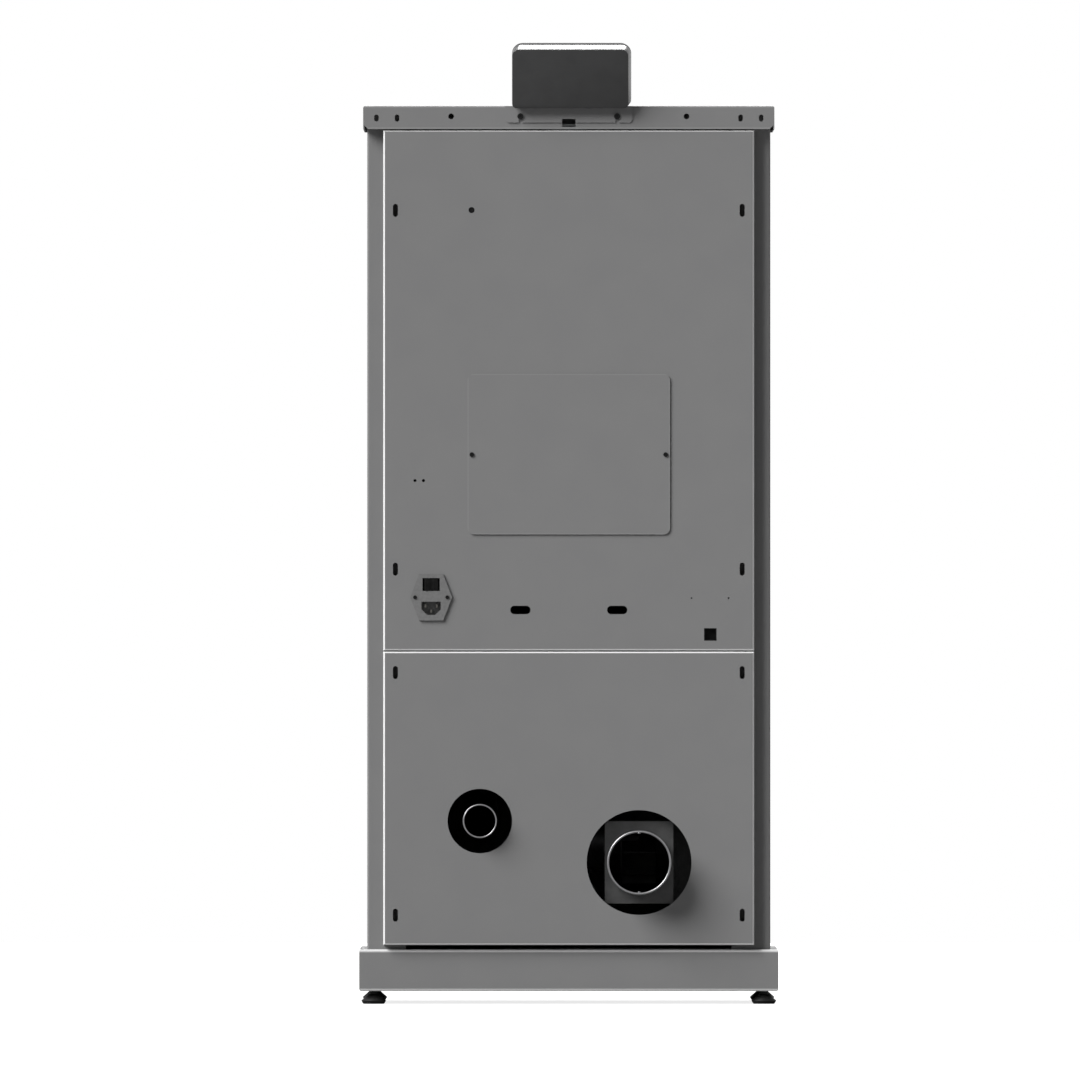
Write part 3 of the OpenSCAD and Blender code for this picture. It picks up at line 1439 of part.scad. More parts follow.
module fire_door() {
  gz = (mouth.z + mouth.y) / 2;
  glass = [window_w / 2 + glass_lap, window_h / 2 + glass_lap];
  color(panel_gray) difference() {
    union() {
      translate([hinge_x, hinge_y, door_z]) cylinder(r = unit_t / 2, h = door_h);
      translate([hinge_x, unit_y, door_z + door_h / 2]) rotate([90, 0, 0])
        translate([0, -door_h / 2, 0]) cube([body_w / 2 - hinge_x, door_h, unit_t]);
    }
    upright(unit_y + over, unit_t + 2 * over) translate([0, gz])
      square([window_w, window_h], center = true);
    upright(unit_y + over, glass_t + clip_t + over) translate([0, gz])
      square(2 * glass + 2 * [glass_clear, glass_clear], center = true);
    upright(unit_y + over, rope.y + over) translate([0, gz])
      ring(groove_half(0), groove_half(rope.x + 2 * rest_gap));
    difference() {
      for (x = [[hinge_x + unit_t / 2 + door_rib, -groove_half(door_rib).x - 2 * door_rib],
           [groove_half(0).x + door_rib, body_w / 2 - door_rib]])
        box([x[0], unit_y - door_relief, door_z + door_rib],
          [x[1], unit_y + over, door_z + door_h - door_rib]);
      rod_y(latch_x, unit_y + 2 * over, latch_z, 2 * handle_shaft_r, unit_t + 2 * over);
    }
    rod_y(latch_x, unit_y + over, latch_z, handle_shaft_r + run_fit, unit_t + 2 * over);
    rod_y(latch_x, unit_y + over, latch_z, latch_r, cam_t + 2 * rest_gap + over);
    for (z = [door_z - over, door_z + door_h - hinge_pin_in - rest_gap])
      translate([hinge_x, hinge_y, z])
        cylinder(r = hinge_pin_r + run_fit, h = hinge_pin_in + rest_gap + over);
  }
}

clip_t = 2;
clip = [14, 30];

module door_glass() {
  gz = (mouth.z + mouth.y) / 2;
  color([0.12, 0.12, 0.12, 0.5]) upright(unit_y - clip_t, glass_t) translate([0, gz])
    square([window_w + 2 * glass_lap, window_h + 2 * glass_lap], center = true);
}

module glass_clips() {
  gz = (mouth.z + mouth.y) / 2;
  color(steel) upright(unit_y, clip_t) for (x = [-1, 1], z = [-1, 1])
    translate([x * (window_w / 2 + glass_lap + glass_clear - clip.x / 2), gz + z * window_h / 3])
      square([clip.x, clip.y], center = true);
}

module door_gasket() {
  gz = (mouth.z + mouth.y) / 2;
  y = unit_y - rope.y;
  color("#4a4745") upright(fire_front_y - rest_gap, fire_front_y - rest_gap - y) translate([0, gz])
    ring(groove_half(rest_gap), groove_half(rope.x + rest_gap));
}

hinge_leaf_t = 2.4;
hinge_leaf_w = 28;

module door_hinges() {
  color(frame_black) for (s = [0, 1]) {
    z = s == 0 ? door_z - unit_gap / 2 - hinge_leaf_t / 2 :
      door_z + door_h + unit_gap / 2 - hinge_leaf_t / 2;
    box([-body_w / 2 + sheet, hinge_y - unit_t / 4, z],
      [-body_w / 2 + sheet + hinge_leaf_w, frame_y, z + hinge_leaf_t]);
    translate([hinge_x, hinge_y, s == 0 ? z + hinge_leaf_t / 2 : door_z + door_h - hinge_pin_in])
      cylinder(r = hinge_pin_r, h = hinge_pin_in + unit_gap / 2);
  }
}

cam_r = 12;
cam_shift = 3;
cam_t = 9;
handle_neck_r = 7;

// Handle: bar, neck, shaft through the door, and the cam that turns in the door's back
module door_handle() {
  bar_y = front_y - handle_reach + handle_d / 2;
  shaft_end = unit_y - rest_gap;
  color(steel) {
    translate([latch_x, bar_y, latch_z - handle_l + handle_d]) cylinder(d = handle_d, h = handle_l);
    rod_y(latch_x, front_y - rest_gap, latch_z, handle_neck_r + 2 * blade_t, blade_t);
    rod_y(latch_x, front_y - rest_gap, latch_z, handle_neck_r, front_y - rest_gap - bar_y);
    rod_y(latch_x, shaft_end, latch_z, handle_shaft_r, shaft_end - front_y + blade_t);
    rod_y(latch_x, shaft_end, latch_z + cam_shift, cam_r, cam_t);
  }
}

// Ash drawer: a front like the panels' and a box that hangs on the firebox's two runners
drawer_back_gap = 14;
drawer_h = 72;
drawer_w = 330;
drawer_wall = 1.5;
drawer_flange = 10.2;
scoop_r = 12;
scoop_w = 150;

module ash_drawer() {
  y1 = back(firebox_back + drawer_back_gap);
  z1 = fire_z - runner_drop + sheet + rest_gap;
  z0 = z1 - drawer_h;
  x = drawer_w / 2;
  color(panel_gray) difference() {
    union() {
      front_tray(drawer_front_z, drawer_front_h, unit_t);
      box([-x, front_y + sheet / 2, z0], [x, y1, z1]);
      box([-x - drawer_flange, frame_y + over, z1], [x + drawer_flange, y1, z1 + drawer_wall]);
      rod_x(-scoop_w / 2 - drawer_wall, front_y, drawer_front_z + drawer_front_h, scoop_r + drawer_wall,
        scoop_w + 2 * drawer_wall);
    }
    box([drawer_wall - x, unit_y, z0 + drawer_wall],
      [x - drawer_wall, y1 - drawer_wall, z1 + over + drawer_wall]);
    box([drawer_wall - x, front_y + sheet, z0 + drawer_wall],
      [x - drawer_wall, unit_y - drawer_wall, z1 + over]);
    rod_x(-scoop_w / 2, front_y, drawer_front_z + drawer_front_h, scoop_r, scoop_w);
    box([-body_w, front_y - unit_t, drawer_front_z], [body_w, front_y, door_z + unit_t]);
    box([-body_w, front_y - unit_t, drawer_front_z + drawer_front_h], [body_w, unit_y, door_z + unit_t]);
  }
}

plinth();
foot(-foot_x, foot_ys[0]);  // foot_front_left
foot(foot_x, foot_ys[0]);  // foot_front_right
foot(-foot_x, foot_ys[1]);  // foot_rear_left
foot(foot_x, foot_ys[1]);  // foot_rear_right
mirror([1, 0, 0]) side_panel();  // side_panel_left
side_panel();  // side_panel_right
front_frame();
latch_keeper();
rear_panel_upper();
rear_panel_lower();
access_cover();
panel_screws();
top_cap();
display_bracket();
display_housing();
display_screen();
hopper_lid();
lid_gasket();
hinge_pins();
hopper();
hopper_throat();
hopper_guard();
auger_tube();
auger_screw();
auger_bush();
auger_gearmotor();
drop_chute();
firebox();
firebox_lining();
pot_holder();
burn_pot();
igniter();
heat_pipes();
smoke_duct();
exhaust_housing();
exhaust_impeller();
exhaust_motor();
flue_spigot();
air_intake_pipe();
fan_shelf();
room_fan_housing();
room_fan_rotor();
room_fan_motor();
control_board();
safety_thermostat();
pressure_switch();
power_inlet();
inlet_pins();
inlet_rocker();
data_socket();
lower_front_panel();
air_grille();
fire_door();
door_glass();
glass_clips();
door_gasket();
door_handle();
door_hinges();
ash_drawer();
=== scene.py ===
import math

import bmesh
import bpy
from mathutils import Matrix, Vector


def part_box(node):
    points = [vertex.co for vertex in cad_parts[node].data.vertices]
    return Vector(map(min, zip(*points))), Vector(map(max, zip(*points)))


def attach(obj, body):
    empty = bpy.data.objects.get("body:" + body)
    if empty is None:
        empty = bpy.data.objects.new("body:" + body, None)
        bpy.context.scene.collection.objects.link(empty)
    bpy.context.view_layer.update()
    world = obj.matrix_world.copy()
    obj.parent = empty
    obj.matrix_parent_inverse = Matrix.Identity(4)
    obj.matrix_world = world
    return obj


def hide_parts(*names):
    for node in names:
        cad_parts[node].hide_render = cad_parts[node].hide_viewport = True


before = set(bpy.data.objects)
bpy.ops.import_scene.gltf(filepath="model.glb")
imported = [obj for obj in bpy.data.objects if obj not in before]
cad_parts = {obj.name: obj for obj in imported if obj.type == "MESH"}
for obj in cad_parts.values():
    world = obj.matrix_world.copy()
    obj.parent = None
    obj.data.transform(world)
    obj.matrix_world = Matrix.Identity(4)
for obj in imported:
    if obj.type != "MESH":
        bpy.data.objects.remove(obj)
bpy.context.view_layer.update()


# The camera stands square behind the stove, at about half its height.
# A very long lens keeps the sides of the cabinet out of sight, as in the photograph.
picture_side = 1080
pixel_size = 0.00124
aim = Vector((0.0357, 0.2565, 0.5754))
lens = 1650.0
sensor = 36.0
stand_back = picture_side * pixel_size * lens / sensor

camera_data = bpy.data.cameras.new("camera")
camera_data.lens = lens
camera_data.sensor_width = sensor
camera_data.clip_end = 4 * stand_back
camera = bpy.data.objects.new("camera", camera_data)
behind = Matrix.Translation(aim + Vector((0, stand_back, 0)))
camera.matrix_world = behind @ Matrix.Rotation(math.pi, 4, "Z") @ Matrix.Rotation(math.pi / 2, 4, "X")
bpy.context.scene.collection.objects.link(camera)
bpy.context.scene.camera = camera
bpy.context.scene.view_settings.view_transform = "Standard"


# The studio is a sheet of pale paper under an even white sky.
# One broad lamp shines on the back from the upper left, a second one on the front from above.
floor_half = 9.0
floor_colour = (0.3, 0.3, 0.3, 1)
floor_roughness = 0.9
floor_lift = 0.8
sky_level = 0.1

floor_build = bmesh.new()
bmesh.ops.create_grid(floor_build, x_segments=1, y_segments=1, size=floor_half)
floor_mesh = bpy.data.meshes.new("floor")
floor_build.to_mesh(floor_mesh)
floor_build.free()
floor = bpy.data.objects.new("floor", floor_mesh)
bpy.context.scene.collection.objects.link(floor)

paper = bpy.data.materials.new("studio_paper")
paper.use_nodes = True
paper_nodes, paper_links = paper.node_tree.nodes, paper.node_tree.links
paper_shader = paper_nodes["Principled BSDF"]
paper_shader.inputs["Base Color"].default_value = floor_colour
paper_shader.inputs["Roughness"].default_value = floor_roughness
paper_rays = paper_nodes.new("ShaderNodeLightPath")
paper_level = paper_nodes.new("ShaderNodeMath")
paper_level.operation = "MULTIPLY"
paper_level.inputs[1].default_value = floor_lift
paper_glow = paper_nodes.new("ShaderNodeEmission")
paper_sum = paper_nodes.new("ShaderNodeAddShader")
paper_links.new(paper_rays.outputs["Is Camera Ray"], paper_level.inputs[0])
paper_links.new(paper_level.outputs[0], paper_glow.inputs["Strength"])
paper_links.new(paper_shader.outputs[0], paper_sum.inputs[0])
paper_links.new(paper_glow.outputs[0], paper_sum.inputs[1])
paper_links.new(paper_sum.outputs[0], paper_nodes["Material Output"].inputs["Surface"])
floor_mesh.materials.append(paper)

sky = bpy.data.worlds.new("studio_sky")
sky.use_nodes = True
sky_nodes, sky_links = sky.node_tree.nodes, sky.node_tree.links
sky_rays = sky_nodes.new("ShaderNodeLightPath")
sky_seen = sky_rays.outputs["Is Camera Ray"]
for ray in ("Is Glossy Ray", "Is Transmission Ray"):
    either_ray = sky_nodes.new("ShaderNodeMath")
    either_ray.operation = "MAXIMUM"
    sky_links.new(sky_seen, either_ray.inputs[0])
    sky_links.new(sky_rays.outputs[ray], either_ray.inputs[1])
    sky_seen = either_ray.outputs[0]
sky_strength = sky_nodes.new("ShaderNodeMath")
sky_strength.operation = "MULTIPLY_ADD"
sky_strength.inputs[1].default_value = 1 - sky_level
sky_strength.inputs[2].default_value = sky_level
sky_links.new(sky_seen, sky_strength.inputs[0])
sky_links.new(sky_strength.outputs[0], sky_nodes["Background"].inputs["Strength"])
sky_nodes["Background"].inputs["Color"].default_value = (1, 1, 1, 1)
bpy.context.scene.world = sky


def studio_lamp(name, towards, strength, spread):
    lamp = bpy.data.lights.new(name, "SUN")
    lamp.energy = strength
    lamp.angle = math.radians(spread)
    holder = bpy.data.objects.new(name, lamp)
    holder.matrix_world = Vector(towards).to_track_quat("Z", "Y").to_matrix().to_4x4()
    bpy.context.scene.collection.objects.link(holder)


studio_lamp("lamp_upper_left", towards=(1.3, 1.0, 1.25), strength=5.12, spread=36)
studio_lamp("lamp_front", towards=(-0.12, -1.0, 0.8), strength=3.0, spread=28)


# The cabinet is folded from sheet steel 1.5 mm thick and powder coated in mid grey.
# The coat is a little cloudy, with a fine orange peel, and a pale line along the outer folds is a painted
# highlight.
grey_paint = (0.175, 0.175, 0.175, 1)
grey_paint_deep = (0.17, 0.17, 0.171, 1)
coat_shine = 0.13
coat_clouds = 0.05
gloss_patches = 0.012
orange_peel = 0.0022
paint_grit = 0.0005
fold_width = 0.0019
fold_blur = 0.3


def plain_finish(name, roughness, metallic=0.0):
    finish = bpy.data.materials.new(name)
    finish.use_nodes = True
    shader = finish.node_tree.nodes["Principled BSDF"]
    shader.inputs["Roughness"].default_value = roughness
    shader.inputs["Metallic"].default_value = metallic
    where = finish.node_tree.nodes.new("ShaderNodeTexCoord").outputs["Object"]
    return finish, shader, where


def specks(finish, where, size, detail=2.0, stretch=(1, 1, 1)):
    nodes, links = finish.node_tree.nodes, finish.node_tree.links
    placing = nodes.new("ShaderNodeMapping")
    placing.inputs["Scale"].default_value = stretch
    noise = nodes.new("ShaderNodeTexNoise")
    noise.inputs["Scale"].default_value = 1 / size
    noise.inputs["Detail"].default_value = detail
    links.new(where, placing.inputs["Vector"])
    links.new(placing.outputs[0], noise.inputs["Vector"])
    return noise.outputs["Fac"]


def between(finish, amount, first, second, low=0.35, high=0.65):
    ramp = finish.node_tree.nodes.new("ShaderNodeValToRGB")
    for stop, position, colour in zip(ramp.color_ramp.elements, (low, high), (first, second)):
        stop.position = position
        stop.color = colour
    finish.node_tree.links.new(amount, ramp.inputs["Fac"])
    return ramp.outputs["Color"]


def blended(finish, amount, first, second):
    mix = finish.node_tree.nodes.new("ShaderNodeMix")
    mix.data_type = "RGBA"
    finish.node_tree.links.new(amount, mix.inputs["Factor"])
    for colour, socket in ((first, mix.inputs[6]), (second, mix.inputs[7])):
        if isinstance(colour, tuple):
            socket.default_value = colour
        else:
            finish.node_tree.links.new(colour, socket)
    return mix.outputs[2]


def coloured(finish, shader, colour):
    finish.node_tree.links.new(colour, shader.inputs["Base Color"])


def raised(finish, shader, height, distance, strength=1.0, under=None):
    bump = finish.node_tree.nodes.new("ShaderNodeBump")
    bump.inputs["Distance"].default_value = distance
    bump.inputs["Strength"].default_value = strength
    finish.node_tree.links.new(height, bump.inputs["Height"])
    if under:
        finish.node_tree.links.new(under, bump.inputs["Normal"])
    finish.node_tree.links.new(bump.outputs["Normal"], shader.inputs["Normal"])
    return bump.outputs["Normal"]


def varied_gloss(finish, shader, amount, smooth, rough):
    spread = finish.node_tree.nodes.new("ShaderNodeMapRange")
    spread.inputs["To Min"].default_value = smooth
    spread.inputs["To Max"].default_value = rough
    finish.node_tree.links.new(amount, spread.inputs["Value"])
    finish.node_tree.links.new(spread.outputs[0], shader.inputs["Roughness"])


# The mask is 1 along the edges of the box from low to high, where two of its faces are near at once.
def fold_mask(finish, where, low, high, width):
    nodes, links = finish.node_tree.nodes, finish.node_tree.links
    split = nodes.new("ShaderNodeSeparateXYZ")
    links.new(where, split.inputs[0])
    total = None
    for axis in range(3):
        half = (high[axis] - low[axis]) / 2
        off_middle = nodes.new("ShaderNodeMath")
        off_middle.operation = "SUBTRACT"
        off_middle.inputs[1].default_value = (low[axis] + high[axis]) / 2
        outwards = nodes.new("ShaderNodeMath")
        outwards.operation = "ABSOLUTE"
        close = nodes.new("ShaderNodeMapRange")
        close.inputs["From Min"].default_value = half - width * (1 + fold_blur)
        close.inputs["From Max"].default_value = half - width * (1 - fold_blur)
        links.new(split.outputs[axis], off_middle.inputs[0])
        links.new(off_middle.outputs[0], outwards.inputs[0])
        links.new(outwards.outputs[0], close.inputs["Value"])
        if total:
            both = nodes.new("ShaderNodeMath")
            both.operation = "ADD"
            links.new(total, both.inputs[0])
            links.new(close.outputs[0], both.inputs[1])
            total = both.outputs[0]
        else:
            total = close.outputs[0]
    two_faces = nodes.new("ShaderNodeMapRange")
    two_faces.inputs["From Min"].default_value = 1.0
    two_faces.inputs["From Max"].default_value = 2.0
    links.new(total, two_faces.inputs["Value"])
    return two_faces.outputs[0]


def powder_coat(name, low, high, pale, width=fold_width, lamp_side_highlight=None):
    finish, shader, where = plain_finish(name, roughness=0.5)
    colour = between(finish, specks(finish, where, coat_clouds, detail=4), grey_paint_deep, grey_paint)
    # A pale painted highlight runs along the outer folds of the box.
    colour = blended(finish, fold_mask(finish, where, low, high, width), colour, (pale, pale, pale, 1))
    # The folds on the +X side and along the bottom carry a brighter painted highlight.
    if lamp_side_highlight:
        left_and_bottom = fold_mask(finish, where, low - Vector((1, 0, 0)), high + Vector((0, 0, 1)), width)
        colour = blended(finish, left_and_bottom, colour, (lamp_side_highlight, lamp_side_highlight, lamp_side_highlight, 1))
    coloured(finish, shader, colour)
    peel = raised(finish, shader, specks(finish, where, orange_peel), distance=0.00004, strength=0.5)
    grit = specks(finish, where, paint_grit, detail=1)
    raised(finish, shader, grit, distance=0.00002, strength=0.4, under=peel)
    varied_gloss(finish, shader, specks(finish, where, gloss_patches), smooth=0.47, rough=0.55)
    shader.inputs["Specular IOR Level"].default_value = coat_shine
    return finish


def cover_node(names, finish):
    for name in names:
        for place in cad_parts[name].material_slots:
            place.material = finish


for sheet_name in ("side_panel_left", "side_panel_right", "front_frame", "access_cover", "display_bracket",
                   "hopper_lid", "lower_front_panel", "air_grille", "fire_door", "ash_drawer"):
    cover_node([sheet_name], powder_coat("coat_" + sheet_name, *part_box(sheet_name), pale=0.2, width=0.0012))
for sheet_name in ("rear_panel_upper", "rear_panel_lower"):
    cover_node([sheet_name], powder_coat("coat_" + sheet_name, *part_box(sheet_name), pale=0.65,
                                         width=0.0017, lamp_side_highlight=0.7))
# The ends of the plinth and the cap, and the top of the cap, carry no painted highlight line, so their box
# reaches past them.
for sheet_name, pale, width, past_top in (("plinth", 0.6, 0.0032, 0), ("top_cap", 0.22, fold_width, 1)):
    sheet_low, sheet_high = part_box(sheet_name)
    cover_node([sheet_name], powder_coat("coat_" + sheet_name, sheet_low - Vector((1, 0, 0)),
                                         sheet_high + Vector((1, 0, past_top)), pale, width))


# Four levelling feet carry the stove, each a black moulded pad on a threaded stud.
# The pads are rubbed by the floor and hold some dust.
foot_black = (0.004, 0.004, 0.004, 1)
foot_dust = (0.009, 0.009, 0.009, 1)
pad_outline = ((0, 0), (0.0125, 0), (0.0133, 0.0006), (0.0153, 0.0038), (0.0151, 0.0046), (0.0066, 0.0121),
               (0.0055, 0.0124), (0.0055, 0.0148))
stud_radius = 0.0032
foot_steps = 48
same_point = 0.00001
crease = math.radians(35)


# The patches of colour are given by size and detail, the grain by size, depth and strength.
def speckled(name, dark, light, patch, grain, roughness, metallic=0.0, shine=0.5):
    finish, shader, where = plain_finish(name, roughness, metallic)
    patch_size, patch_detail = patch
    grain_size, grain_depth, grain_strength = grain
    coloured(finish, shader, between(finish, specks(finish, where, patch_size, patch_detail), dark, light))
    raised(finish, shader, specks(finish, where, grain_size), grain_depth, grain_strength)
    shader.inputs["Specular IOR Level"].default_value = shine
    return finish


def turned(build, middle, axis, steps):
    bmesh.ops.spin(build, geom=build.verts[:] + build.edges[:], cent=middle, axis=axis, dvec=(0, 0, 0),
                   angle=math.tau, steps=steps, use_merge=True, use_duplicate=False)
    bmesh.ops.remove_doubles(build, verts=build.verts, dist=same_point)


def finished(name, build, finish):
    bmesh.ops.recalc_face_normals(build, faces=build.faces)
    mesh = bpy.data.meshes.new(name)
    build.to_mesh(mesh)
    build.free()
    mesh.shade_smooth()
    mesh.set_sharp_from_angle(angle=crease)
    mesh.materials.append(finish)
    piece = bpy.data.objects.new(name, mesh)
    bpy.context.scene.collection.objects.link(piece)
    return piece


foot_finish = speckled("foot_plastic", foot_black, foot_dust, patch=(0.012, 4), grain=(0.0007, 0.00005, 0.6),
                       roughness=0.55, shine=0.16)
for foot_name in ("foot_front_left", "foot_front_right", "foot_rear_left", "foot_rear_right"):
    foot_low, foot_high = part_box(foot_name)
    foot_middle = (foot_low + foot_high) / 2
    foot_tall = foot_high.z - foot_low.z
    foot_outline = (*pad_outline, (stud_radius, pad_outline[-1][1]), (stud_radius, foot_tall), (0, foot_tall))
    foot_build = bmesh.new()
    foot_points = [foot_build.verts.new((foot_middle.x + reach, foot_middle.y, foot_low.z + height))
                   for reach, height in foot_outline]
    for point, following in zip(foot_points, foot_points[1:]):
        foot_build.edges.new((point, following))
    turned(foot_build, foot_middle, (0, 0, 1), foot_steps)
    foot_piece = finished("levelling_" + foot_name, foot_build, foot_finish)
    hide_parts(foot_name)
    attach(foot_piece, foot_name)


# The data socket, the rocker and the safety switches are moulded in black plastic.
# The screws and hinges are blackened steel, and the mains inlet is moulded in a grey close to the paint.
moulded_black = (0.004, 0.004, 0.004, 1)
moulded_worn = (0.008, 0.008, 0.008, 1)
screw_black = (0.004, 0.004, 0.004, 1)
screw_worn = (0.012, 0.012, 0.012, 1)
inlet_grey = (0.13, 0.13, 0.13, 1)
inlet_shadow = (0.11, 0.11, 0.11, 1)

cover_node(["data_socket", "safety_thermostat", "pressure_switch", "inlet_rocker"], speckled(
    "moulded_black", moulded_black, moulded_worn, patch=(0.006, 3), grain=(0.0004, 0.00003, 0.5),
    roughness=0.48, shine=0.06))
cover_node(["panel_screws", "door_hinges", "latch_keeper"], speckled(
    "blackened_steel", screw_black, screw_worn, patch=(0.0015, 3), grain=(0.0005, 0.00002, 0.4),
    roughness=0.45, metallic=0.3, shine=0.15))
cover_node(["power_inlet"], speckled(
    "inlet_plastic", inlet_shadow, inlet_grey, patch=(0.004, 2), grain=(0.0004, 0.00003, 0.5),
    roughness=0.45))


# The display is a slim tray of dark satin plastic that leans back on its bracket behind the hopper lid.
# Its front frame is duller and darker than the tray, and a black glass is set into it.
display_dark = (0.03, 0.03, 0.0305, 1)
display_worn = (0.034, 0.034, 0.0345, 1)
frame_black = (0.012, 0.012, 0.012, 1)
screen_black = (0.004, 0.004, 0.005, 1)
screen_haze = (0.007, 0.007, 0.008, 1)
tray_roughness = 0.3
frame_roughness = 0.85
display_lean = math.radians(19.5)
display_pin = Vector((0, 0.263, 1.12417))
frame_edge = -0.0045
tray_bottom = -0.01
tray_top = 0.067
recess_edge = 0.005
recess_depth = 0.0028
back_edge_round = 0.0008
corner_steps = 10

tray_finish, tray_shader, tray_where = plain_finish("display_shell", tray_roughness)
tray_nodes, tray_links = tray_finish.node_tree.nodes, tray_finish.node_tree.links
backwards = Vector((0, math.cos(display_lean), -math.sin(display_lean)))
tray_depth = tray_nodes.new("ShaderNodeVectorMath")
tray_depth.operation = "DOT_PRODUCT"
tray_depth.inputs[1].default_value = backwards
on_frame = tray_nodes.new("ShaderNodeMath")
on_frame.operation = "LESS_THAN"
on_frame.inputs[1].default_value = display_pin.dot(backwards) + frame_edge
tray_links.new(tray_where, tray_depth.inputs[0])
tray_links.new(tray_depth.outputs["Value"], on_frame.inputs[0])
tray_clouds = specks(tray_finish, tray_where, size=0.02, detail=3)
tray_colour = between(tray_finish, tray_clouds, display_dark, display_worn)
coloured(tray_finish, tray_shader, blended(tray_finish, on_frame.outputs[0], tray_colour, frame_black))
raised(tray_finish, tray_shader, specks(tray_finish, tray_where, size=0.0006), distance=0.00001, strength=0.3)
varied_gloss(tray_finish, tray_shader, on_frame.outputs[0], tray_roughness, frame_roughness)
tray_shader.inputs["Specular IOR Level"].default_value = 0.4


def rounded_plate(build, left, right, depth, upper_round, lower_round):
    middle = Vector(((left + right) / 2, depth, (tray_bottom + tray_top) / 2))
    standing = Matrix.Translation(middle) @ Matrix.Rotation(math.pi / 2, 4, "X")
    spread = Matrix.Diagonal((right - left, tray_top - tray_bottom, 1, 1))
    corners = bmesh.ops.create_grid(build, x_segments=1, y_segments=1, size=0.5,
                                    matrix=standing @ spread)["verts"]
    above = [point for point in corners if point.co.z > middle.z]
    below = [point for point in corners if point.co.z < middle.z]
    for points, radius in ((above, upper_round), (below, lower_round)):
        bmesh.ops.bevel(build, geom=points, offset=radius, offset_type="OFFSET", affect="VERTICES",
                        segments=corner_steps, profile=0.5, material=-1)
    return [edge for edge in build.edges if all(abs(point.co.y - depth) < same_point for point in edge.verts)]


tray_build = bmesh.new()
back_rim = rounded_plate(
    tray_build, left=-0.0735, right=0.0702, depth=0.013, upper_round=0.008, lower_round=0.0055)
middle_rim = rounded_plate(
    tray_build, left=-0.0772, right=0.0704, depth=frame_edge, upper_round=0.012, lower_round=0.004)
front_rim = rounded_plate(
    tray_build, left=-0.0774, right=0.0704, depth=-0.0129, upper_round=0.0135, lower_round=0.004)
front_sheet = front_rim[0].link_faces[0]
bmesh.ops.delete(tray_build, geom=[middle_rim[0].link_faces[0]], context="FACES_ONLY")
bmesh.ops.bridge_loops(tray_build, edges=back_rim + middle_rim)
bmesh.ops.bridge_loops(tray_build, edges=middle_rim + front_rim)
bmesh.ops.recalc_face_normals(tray_build, faces=tray_build.faces)
bmesh.ops.inset_region(tray_build, faces=[front_sheet], thickness=recess_edge, depth=-recess_depth,
                       use_even_offset=True)
bmesh.ops.bevel(tray_build, geom=back_rim, offset=back_edge_round, offset_type="OFFSET", affect="EDGES",
                segments=3, profile=0.5, material=-1)
leaning = Matrix.Translation(display_pin) @ Matrix.Rotation(-display_lean, 4, "X")
bmesh.ops.transform(tray_build, verts=tray_build.verts, matrix=leaning)
display_case = finished("display_case", tray_build, tray_finish)
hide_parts("display_housing")
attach(display_case, "display")

screen_finish, screen_shader, screen_where = plain_finish("display_glass", roughness=0.08)
screen_clouds = specks(screen_finish, screen_where, size=0.03)
screen_smears = specks(screen_finish, screen_where, size=0.015, detail=4)
coloured(screen_finish, screen_shader, between(screen_finish, screen_clouds, screen_black, screen_haze))
varied_gloss(screen_finish, screen_shader, screen_smears, smooth=0.05, rough=0.14)
cover_node(["display_screen"], screen_finish)


# Bright steel is left bare on the flue spigot, air pipe, pins, clips, auger and the bar of the handle.
# Round pieces are turned or rolled, so fine lines run round them.
rolled_light = (0.27, 0.27, 0.275, 1)
rolled_dark = (0.2, 0.2, 0.205, 1)


def bright_steel(name, stretch, roughness=0.26, light=(0.6, 0.6, 0.61, 1), dark=(0.44, 0.44, 0.45, 1)):
    finish, shader, where = plain_finish(name, roughness, metallic=1.0)
    lines = specks(finish, where, size=0.004, detail=3, stretch=stretch)
    coloured(finish, shader, between(finish, lines, dark, light, 0.3, 0.7))
    raised(finish, shader, lines, distance=0.00003, strength=0.35)
    smears = specks(finish, where, size=0.02, detail=3)
    varied_gloss(finish, shader, smears, smooth=roughness - 0.06, rough=roughness + 0.08)
    return finish


rolled_steel = bright_steel("rolled_steel", (1, 9, 1), roughness=0.32, light=rolled_light, dark=rolled_dark)
cover_node(["air_intake_pipe"], rolled_steel)
cover_node(["door_handle"], bright_steel("brushed_bar", (9, 9, 1), roughness=0.3))
cover_node(["hinge_pins", "hopper_guard", "glass_clips"], bright_steel("drawn_steel", (1, 6, 6)))
cover_node(["auger_screw", "igniter"], bright_steel("worked_steel", (3, 3, 3), roughness=0.34))


# Galvanised sheet carries the pellets and the room air: hopper, throat, tube, chute, shelf and fan housing.
# The zinc shows pale and dark flakes a little under a centimetre wide.
zinc_dark = (0.2, 0.205, 0.21, 1)
zinc_pale = (0.34, 0.345, 0.35, 1)
flakes_per_metre = 110

zinc_finish, zinc_shader, zinc_where = plain_finish("zinc_sheet", roughness=0.4, metallic=1.0)
zinc_cells = zinc_finish.node_tree.nodes.new("ShaderNodeTexVoronoi")
zinc_cells.inputs["Scale"].default_value = flakes_per_metre
zinc_tone = zinc_finish.node_tree.nodes.new("ShaderNodeRGBToBW")
zinc_finish.node_tree.links.new(zinc_where, zinc_cells.inputs["Vector"])
zinc_finish.node_tree.links.new(zinc_cells.outputs["Color"], zinc_tone.inputs[0])
zinc_colour = between(zinc_finish, zinc_tone.outputs[0], zinc_dark, zinc_pale, low=0.2, high=0.8)
coloured(zinc_finish, zinc_shader, zinc_colour)
varied_gloss(zinc_finish, zinc_shader, zinc_tone.outputs[0], smooth=0.3, rough=0.48)
raised(zinc_finish, zinc_shader, specks(zinc_finish, zinc_where, size=0.002), distance=0.00003, strength=0.3)
cover_node(["hopper", "hopper_throat", "auger_tube", "drop_chute", "fan_shelf", "room_fan_housing"],
           zinc_finish)


# The smoke duct and the exhaust housing are pressed from sheet and blacked against the heat.
# Only the square end of the housing shows, round the flue spigot.
duct_dark = (0.034, 0.034, 0.034, 1)
duct_light = (0.05, 0.05, 0.05, 1)

